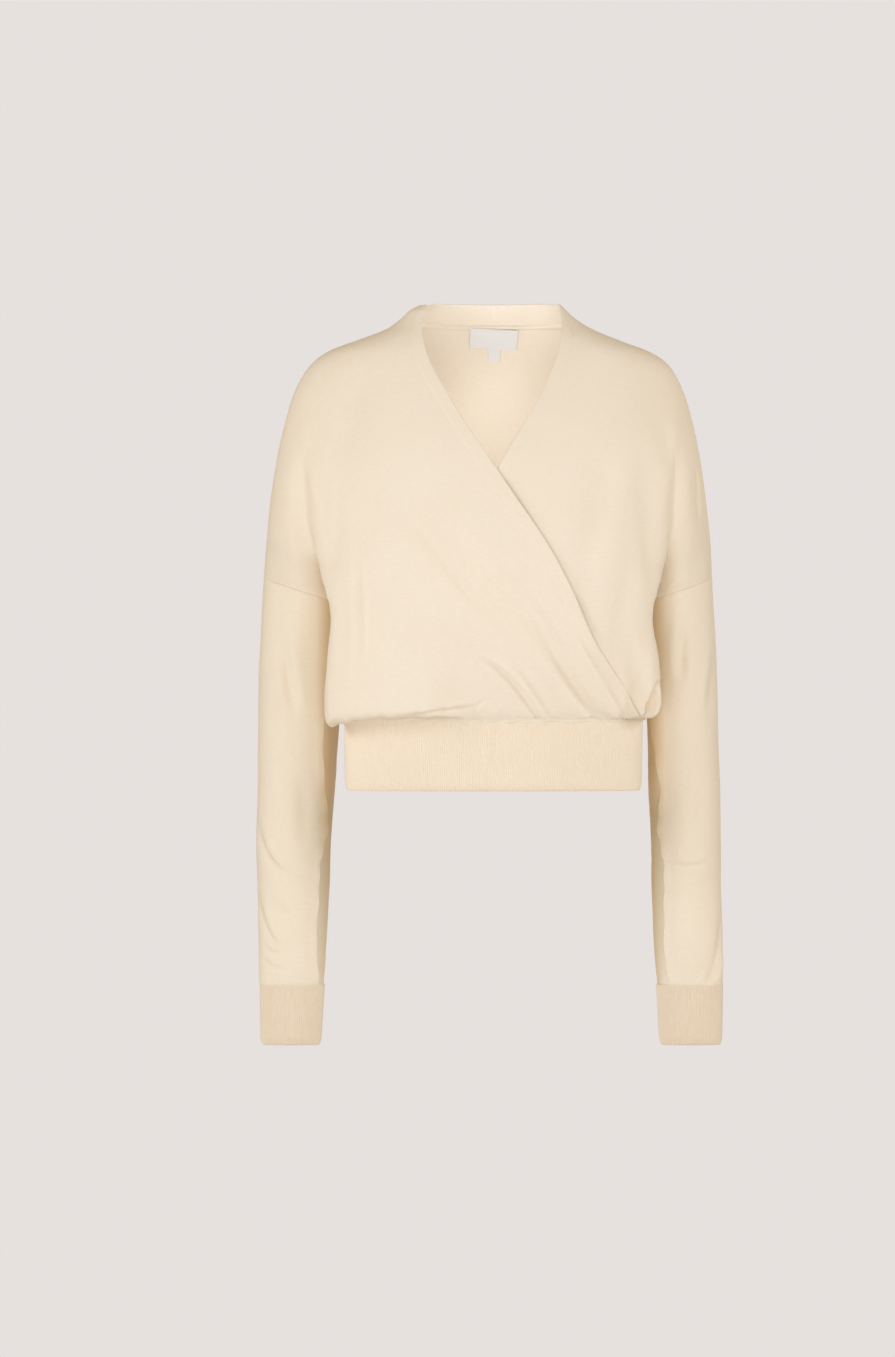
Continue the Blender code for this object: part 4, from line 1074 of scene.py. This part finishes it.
# The sleeves' colour is painted shade, a little darker than the body's own.
SLEEVE_PAINTED_SHADE = (0.905, 0.794, 0.624)
INNER_PAINTED_SHADE = (0.745, 0.582, 0.360)  # painted shade on the inner sides of the sleeves
INNER_PAINTED_X = (0.173, 0.187)  # between these the painted inner shade turns to the sleeve's painted shade
GATHER = 14.0  # height over which a sleeve draws in to its cuff
OVER_CUFF = 0.6  # how far the gathered end stands out over the cuff's size
SLEEVE_TOP_Z = -345  # first full ring below the underarm
RIPPLE = (1.2, 0.8)  # how the seam ripples: middle height and sway
RIPPLE_TOP_Z = -420
RIPPLE_REACH = 60.0
RIPPLE_WIDTH = 1.4  # in fine columns to each side of the seam
CUFF_FADE = 3.0
GATHERED = 0.6  # share of the flatness beside the seam that is lost in the gathers
TURNING = 2.5  # how soon a fold comes in as the cloth turns to its side
RIGHT_SLEEVE_FOLDS = [
    # x0, z0, x1, z1, x2, z2, half width, trough, ridge, runs on
    (-224, -350, -217, -402, -208, -446, 6.5, 5.5, 2.0, 0),
    (-253, -540, -240, -590, -212, -614, 4.0, 3.0, 2.4, 0),
    (-222, -607, -200, -609, -176, -604, 5.0, -1.0, 0.0, 0),
    (-252, -622, -242, -668, -222, -692, 3.6, 3.2, 2.4, 0),
    (-236, -634, -222, -652, -204, -652, 5.0, 1.2, 0.8, 0),
    (-246, -680, -236, -694, -218, -692, 2.4, 1.5, 1.0, 0),
    (-246, -698, -234, -710, -218, -712, 2.4, 1.5, 1.0, 0),
    (-236, -712, -230, -720, -228, -729, 2.0, 0.8, 0.4, 1),
    (-206, -490, -200, -540, -203, -590, 8.0, 1.6, 0.0, 0),
]
LEFT_SLEEVE_FOLDS = [
    # x0, z0, x1, z1, x2, z2, half width, trough, ridge, runs on
    (210, -322, 205, -370, 203, -412, 6.5, 5.0, -2.0, 0),
    (244, -352, 238, -402, 232, -455, 5.0, 2.2, -1.4, 0),
    (226, -470, 219, -540, 222, -610, 8.0, 1.8, 0.0, 0),
    (188, -597, 214, -601, 242, -594, 2.6, 1.5, 1.6, 0),
    (250, -630, 245, -690, 234, -727, 4.0, 2.8, 2.0, 1),
    (252, -600, 236, -618, 212, -622, 6.0, 1.2, 0.0, 0),
    (204, -700, 203, -716, 200, -729, 3.0, 1.0, 0.7, 1),
    (226, -708, 224, -718, 221, -729, 2.4, 0.9, 0.6, 1),
]
ELBOW_FOLDS = [
    # the same columns, on the back of each arm, with x > 0
    (248, -560, 214, -578, 182, -566, 5.0, 3.0, 2.0, 0),
    (246, -592, 212, -604, 178, -598, 4.5, 2.4, 1.6, 0),
    (244, -640, 218, -650, 190, -644, 5.0, 1.8, 1.2, 0),
    (230, -340, 214, -400, 206, -462, 7.0, 2.8, 1.4, 0),
]


def tube_at(table, side, z):
    """Centre and half sizes of a sleeve or a cuff at height z."""
    columns = from_table(table, z)
    outer, inner = columns[:2] if side < 0 else columns[2:4]
    centre = np.array([side * (outer + inner) / 2, columns[4]])
    return centre, np.array([(outer - inner) / 2, columns[5]])


def sleeve_grid(side):
    """Rings of a sleeve, each from the underarm seam over the front, the arm and the back. Angles
    count from the inner side of the arm, and are negative over the front."""
    front = refine(arm_row(side, SHOULDER_END_Z, "front crease"), 0)
    back = refine(arm_row(side, SHOULDER_END_Z, "back crease"), 0)
    ring = np.vstack([front, back[-2::-1]])
    ring[:, 2] -= SEAM_GROOVE
    centre, half = np.array([tube_at(SLEEVE, side, z) for z in ring[:, 2]]).transpose(1, 0, 2)
    flat = (ring[:, :2] - centre) / half
    start = np.unwrap(np.arctan2(flat[:, 1], -side * flat[:, 0]))
    reach = np.linalg.norm(flat, axis=1)
    cuff_middle, cuff_size = tube_at(CUFF, side, CUFF_SEAM_Z)
    end = math.radians(CORNER_END)
    grid = [ring]
    for z in np.linspace(SLEEVE_TOP_Z, CUFF_SEAM_Z, SLEEVE_ROWS):
        tight = smooth((CUFF_SEAM_Z + GATHER - z) / GATHER)
        loose = smooth((EASE_Z[0] - z) / (EASE_Z[0] - EASE_Z[1]))
        middle, size = tube_at(SLEEVE, side, z)
        middle = middle + (cuff_middle - middle) * tight
        size = size + (cuff_size + OVER_CUFF - size) * tight
        turn = math.radians(from_table(SEAM_TURN, z)[0 if side < 0 else 1])
        angle = start - (turn + start[0]) * loose
        spread = (end + turn) / 2
        off = np.angle(np.exp(1j * (angle - (end - turn) / 2)))
        chord = np.where(np.abs(off) < spread, math.cos(spread) / np.cos(off), 1.0)
        flatter = SEAM_CORNER * loose * (1 - GATHERED * tight)
        shape = 1 + (reach - 1) * (1 - loose) + (chord - 1) * flatter
        x = middle[0] - side * size[0] * np.cos(angle) * shape
        y = middle[1] + size[1] * np.sin(angle) * shape
        grid.append(np.column_stack([x, y, np.full(len(x), z)]))
    return refine(np.array(grid), 0)


# The sleeves' colour is painted shade all over, darkest on their inner sides.
sleeve_knit = knit("sleeve_knit", INNER_PAINTED_SHADE, SLEEVE_PAINTED_SHADE, INNER_PAINTED_X, JERSEY_WALE, JERSEY_RELIEF)

for side, word, table in ((-1, "right", RIGHT_SLEEVE_FOLDS), (1, "left", LEFT_SLEEVE_FOLDS)):
    grid = sleeve_grid(side)
    wide = np.concatenate([grid[:, -2:-1], grid, grid[:, 1:2]], axis=1)
    everywhere = np.ones((wide.shape[0] - 1, wide.shape[1] - 1), bool)
    out = -side * normals(wide, everywhere)[0][:, 1:-1]
    rows, columns = grid.shape[:2]
    row, at = np.arange(rows)[:, None], np.arange(columns)[None, :]
    x, z = grid[..., 0], grid[..., 2]
    lift = folds(x, z, table) * smooth(-TURNING * out[..., 1])
    lift += folds(side * x, z, ELBOW_FOLDS) * smooth(TURNING * out[..., 1])
    lift += ease(grid)
    ripple = RIPPLE[0] + RIPPLE[1] * np.sin(z / 5.0 + 2.0 * np.sin(z / 31.0))
    beside = np.exp(-((np.minimum(at, columns - 1 - at) / RIPPLE_WIDTH) ** 2))
    lift += ripple * beside * smooth((RIPPLE_TOP_Z - z) / RIPPLE_REACH)
    lift *= smooth(row / SEAM_FADE) * smooth((rows - 1 - row) / CUFF_FADE)
    grid = grid + out * lift[..., None]
    present = np.ones((rows - 1, columns - 1), bool)
    places = knit_map(grid, 0.0)
    sleeve = add_sheet("sleeve_%s_knit" % word, grid, present, places, sleeve_knit, -side)
    dress(sleeve, "sleeve_" + word)

# ---------------------------------------------------------------- the waistband
# A deep band in one by one rib of the same yarn, knitted as a ring and linked to the body, with a
# rounded hem. The ribs stand out by about half a millimetre on the outside.

BAND_HEM_HALF = (158.0, 86.5)
HEM_Z = -520.0
BAND_LAP = 1.3  # the body's edge lies over the waistband's by this much
BAND_RIBS = 360
RIB_POINTS = 6
RIB_WALE = 2.3
RIB_RELIEF = 0.08
RIB_SHADE = (0.910, 0.792, 0.622)
# The cuffs' colour is painted shade, darker than the waistband's same rib.
CUFF_PAINTED_SHADE = (0.810, 0.690, 0.525)
CUFF_PAINTED_X = (0.165, 0.180)  # between these the rib's own colour turns to the cuffs' painted shade
RIB_HEIGHT = 0.65
RIB_ROUND = 0.75  # under 1 the ribs are wider than the furrows
RIB_SWAY = 0.35
RIB_ROWS = 9
HEM_CURVE = 9.0  # height over which a hem draws in
HEM_IN = 2.2
HEM_TURN = (0.5, 1.1, 1.571, 2.1, 2.7)  # how the hem goes round from the outside to the inside
RIB_FADE = 1.8  # the ribs run out on the hem, the later the larger this is


def add_rib_band(name, top, bottom, ribs, finish):
    """A ribbed tube between two ovals, each (z, centre, half sizes, power): ribs on its outside,
    over a rounded hem, and a plain inside."""
    around = ribs * RIB_POINTS
    phase = np.arange(around) / RIB_POINTS
    rib = (0.5 - 0.5 * np.cos(2 * math.pi * phase)) ** RIB_ROUND
    height = top[0] - bottom[0]
    half = WALL / 2
    # depth below the top, how far in from the outside, share of the ribs
    profile = [(0.0, 0.0, 0.4), (0.6, 0.0, 0.7), (2.0, 0.0, 1.0)]
    profile += [(depth, 0.0, 1.0) for depth in np.linspace(5, height - HEM_CURVE, RIB_ROWS)]
    profile += [(height - share * HEM_CURVE, 0.0, 1.0) for share in (0.75, 0.5, 0.25, 0.1)]
    for turn in HEM_TURN:
        inward = half - half * math.cos(turn)
        raised = math.cos(turn / RIB_FADE) ** 2
        profile.append((height - half + half * math.sin(turn), inward, raised))
    profile += [(depth, WALL, 0.0) for depth in (height - 3, height - 10, height / 2, 6, 0.6)]
    profile += [(0.0, 0.7 * WALL, 0.0), (-0.2, 0.35 * WALL, 0.2)]
    rings = []
    for depth, inward, share in profile:
        along = min(max(depth / height, 0.0), 1.0)
        centre = np.array(top[1]) * (1 - along) + np.array(bottom[1]) * along
        size = np.array(top[2]) * (1 - along) + np.array(bottom[2]) * along
        drawn = HEM_IN * max(1 - (height - depth) / HEM_CURVE, 0.0) ** 2
        ring, out = even_ring(centre, size, top[3], around)
        across = np.column_stack([-out[:, 1], out[:, 0]])
        ring = ring + out * (RIB_HEIGHT * rib * share - inward - drawn)[:, None]
        sway = RIB_SWAY * share * math.sin(depth / 13.0) * np.sin(phase / 9.0)
        ring = ring + across * sway[:, None]
        rings.append(np.column_stack([ring, np.full(around, top[0] - depth)]))
    rings = np.array(rings)
    count = len(rings)
    k, c = np.indices((count, around)).reshape(2, -1)
    n, d = (k + 1) % count, (c + 1) % around
    faces = np.column_stack([k * around + c, n * around + c, n * around + d, k * around + d])
    down = np.cumsum(np.linalg.norm(np.diff(rings, axis=0), axis=2).mean(1))
    v, u = np.meshgrid([0, *-down], phase * RIB_WALE, indexing="ij")
    flat = np.column_stack([u.ravel(), v.ravel()])
    return add_mesh(name, rings.reshape(-1, 3), faces.tolist(), flat, finish)


rib_knit = knit("rib_knit", RIB_SHADE, CUFF_PAINTED_SHADE, CUFF_PAINTED_X, RIB_WALE, RIB_RELIEF)
waistband = add_rib_band(
    "waistband_rib",
    (WAIST_SEAM_Z + BAND_LAP, BAND_CENTRE, BAND_HALF, BAND_POWER),
    (HEM_Z, BAND_CENTRE, BAND_HEM_HALF, BAND_POWER),
    BAND_RIBS, rib_knit,
)
dress(waistband, "waistband")

# ---------------------------------------------------------------- the cuffs
# Narrow bands in the same rib, coloured darker as painted shade. Each is a ring too, linked to the
# gathered end of its sleeve.

CUFF_RIBS = 72
CUFF_POWER = 2.0

for side, word in ((-1, "right"), (1, "left")):
    ends = []
    for z in (CUFF_SEAM_Z, CUFF_HEM_Z):
        centre, half = tube_at(CUFF, side, z)
        ends.append((z, centre, half, CUFF_POWER))
    cuff = add_rib_band("cuff_%s_rib" % word, *ends, CUFF_RIBS, rib_knit)
    dress(cuff, "cuff_" + word)

# ---------------------------------------------------------------- the labels
# Two woven satin tapes stitched in under the neckband, with nothing on them: a wide one turned in at
# its ends, and a small tab that hangs from under it.

LABELS = [
    # name, node, left, right, top, bottom, degrees turned, gap to the cloth, lean, thickness
    ("label_main_tape", "label_main", -21.8, 29.6, -25.3, -44.6, 3.3, 0.9, 1.4, 0.7),
    ("label_size_tape", "label_size", -2.4, 10.4, -45.0, -58.6, 1.0, 0.5, 0.0, 0.5),
]
LABEL_COLUMNS = 40
LABEL_ROWS = 16
TAPE_WHITE = (0.93, 0.915, 0.885)
THREADS = (0.35, 0.25)  # width of the tape's threads, across and down
GRAIN_SCALE = 900.0
TAPE_RELIEF = 0.05
INSIDE_Z = (-20, -64)  # the stretch of the back that the labels lie on
INSIDE_X = 42
LABEL_WAVE = 0.35  # how far a label's free lower edge stands off the back, in soft waves
LABEL_RIPPLE = 0.25


def woven(name, colour):
    """Satin-woven tape: a fine cross weave with a slight shine."""
    made, tree, shader, place = new_finish(name)
    threads = []
    for along, width in zip(split_node(tree, place), THREADS):
        turn = math_node(tree, "MULTIPLY", along, 2 * math.pi / (width * MM))
        threads.append(math_node(tree, "SINE", turn))
    weave = math_node(tree, "MULTIPLY", *threads)
    grain = noise_node(tree, place, GRAIN_SCALE)
    height = math_node(tree, "MULTIPLY_ADD", grain, 0.8, weave)
    shade = math_node(tree, "MULTIPLY_ADD", weave, 0.2, grain)
    ramp = tree.nodes.new("ShaderNodeValToRGB")
    dark, light = ramp.color_ramp.elements
    dark.position, light.position = 0.2, 0.8
    dark.color = (*[channel * 0.93 for channel in colour], 1.0)
    light.color = (*colour, 1.0)
    tree.links.new(shade, ramp.inputs["Fac"])
    tree.links.new(ramp.outputs["Color"], shader.inputs["Base Color"])
    rough = math_node(tree, "MULTIPLY_ADD", grain, 0.3, 0.4)
    tree.links.new(rough, shader.inputs["Roughness"])
    raise_threads(tree, shader, height, TAPE_RELIEF)
    return made


def inside_back(x, z):
    """y of the inside of the back behind the neck, at places seen from the front."""
    heights = np.arange(*INSIDE_Z, -1.0)
    rows = []
    for height in heights:
        half = section(1, height, "centre back", "shoulder blade")
        rows.append(np.interp(np.arange(INSIDE_X), half[:, 0], half[:, 1]) - WALL)
    rows = np.array(rows)
    down, across = heights[0] - z, np.abs(x)
    r, c = down.astype(int), across.astype(int)
    down, across = down - r, across - c
    upper = rows[r, c] * (1 - across) + rows[r, c + 1] * across
    lower = rows[r + 1, c] * (1 - across) + rows[r + 1, c + 1] * across
    return upper * (1 - down) + lower * down


label_cloth = woven("label_cloth", TAPE_WHITE)

for name, node, left, right, top, bottom, turned, gap, lean, thick in LABELS:
    a, b = np.meshgrid(
        np.linspace(0, right - left, LABEL_COLUMNS + 1), np.linspace(0, bottom - top, LABEL_ROWS + 1)
    )
    turn = math.radians(turned)
    x = left + a * math.cos(turn) + b * math.sin(turn)
    z = top - a * math.sin(turn) + b * math.cos(turn)
    hang = b / (bottom - top)
    y = inside_back(x, z) - gap - thick - lean * (1 - smooth(2.5 * hang))
    y -= LABEL_WAVE * hang * (1 + np.sin(a / 9.0)) + LABEL_RIPPLE * np.sin(a / 5.0) * hang**2
    present = np.ones((LABEL_ROWS, LABEL_COLUMNS), bool)
    flat = np.stack([a, b], axis=2)
    face = stand_up(np.stack([x, y, z], axis=2))
    tape = add_sheet(name, face, present, flat, label_cloth, -1, thick)
    dress(tape, node)
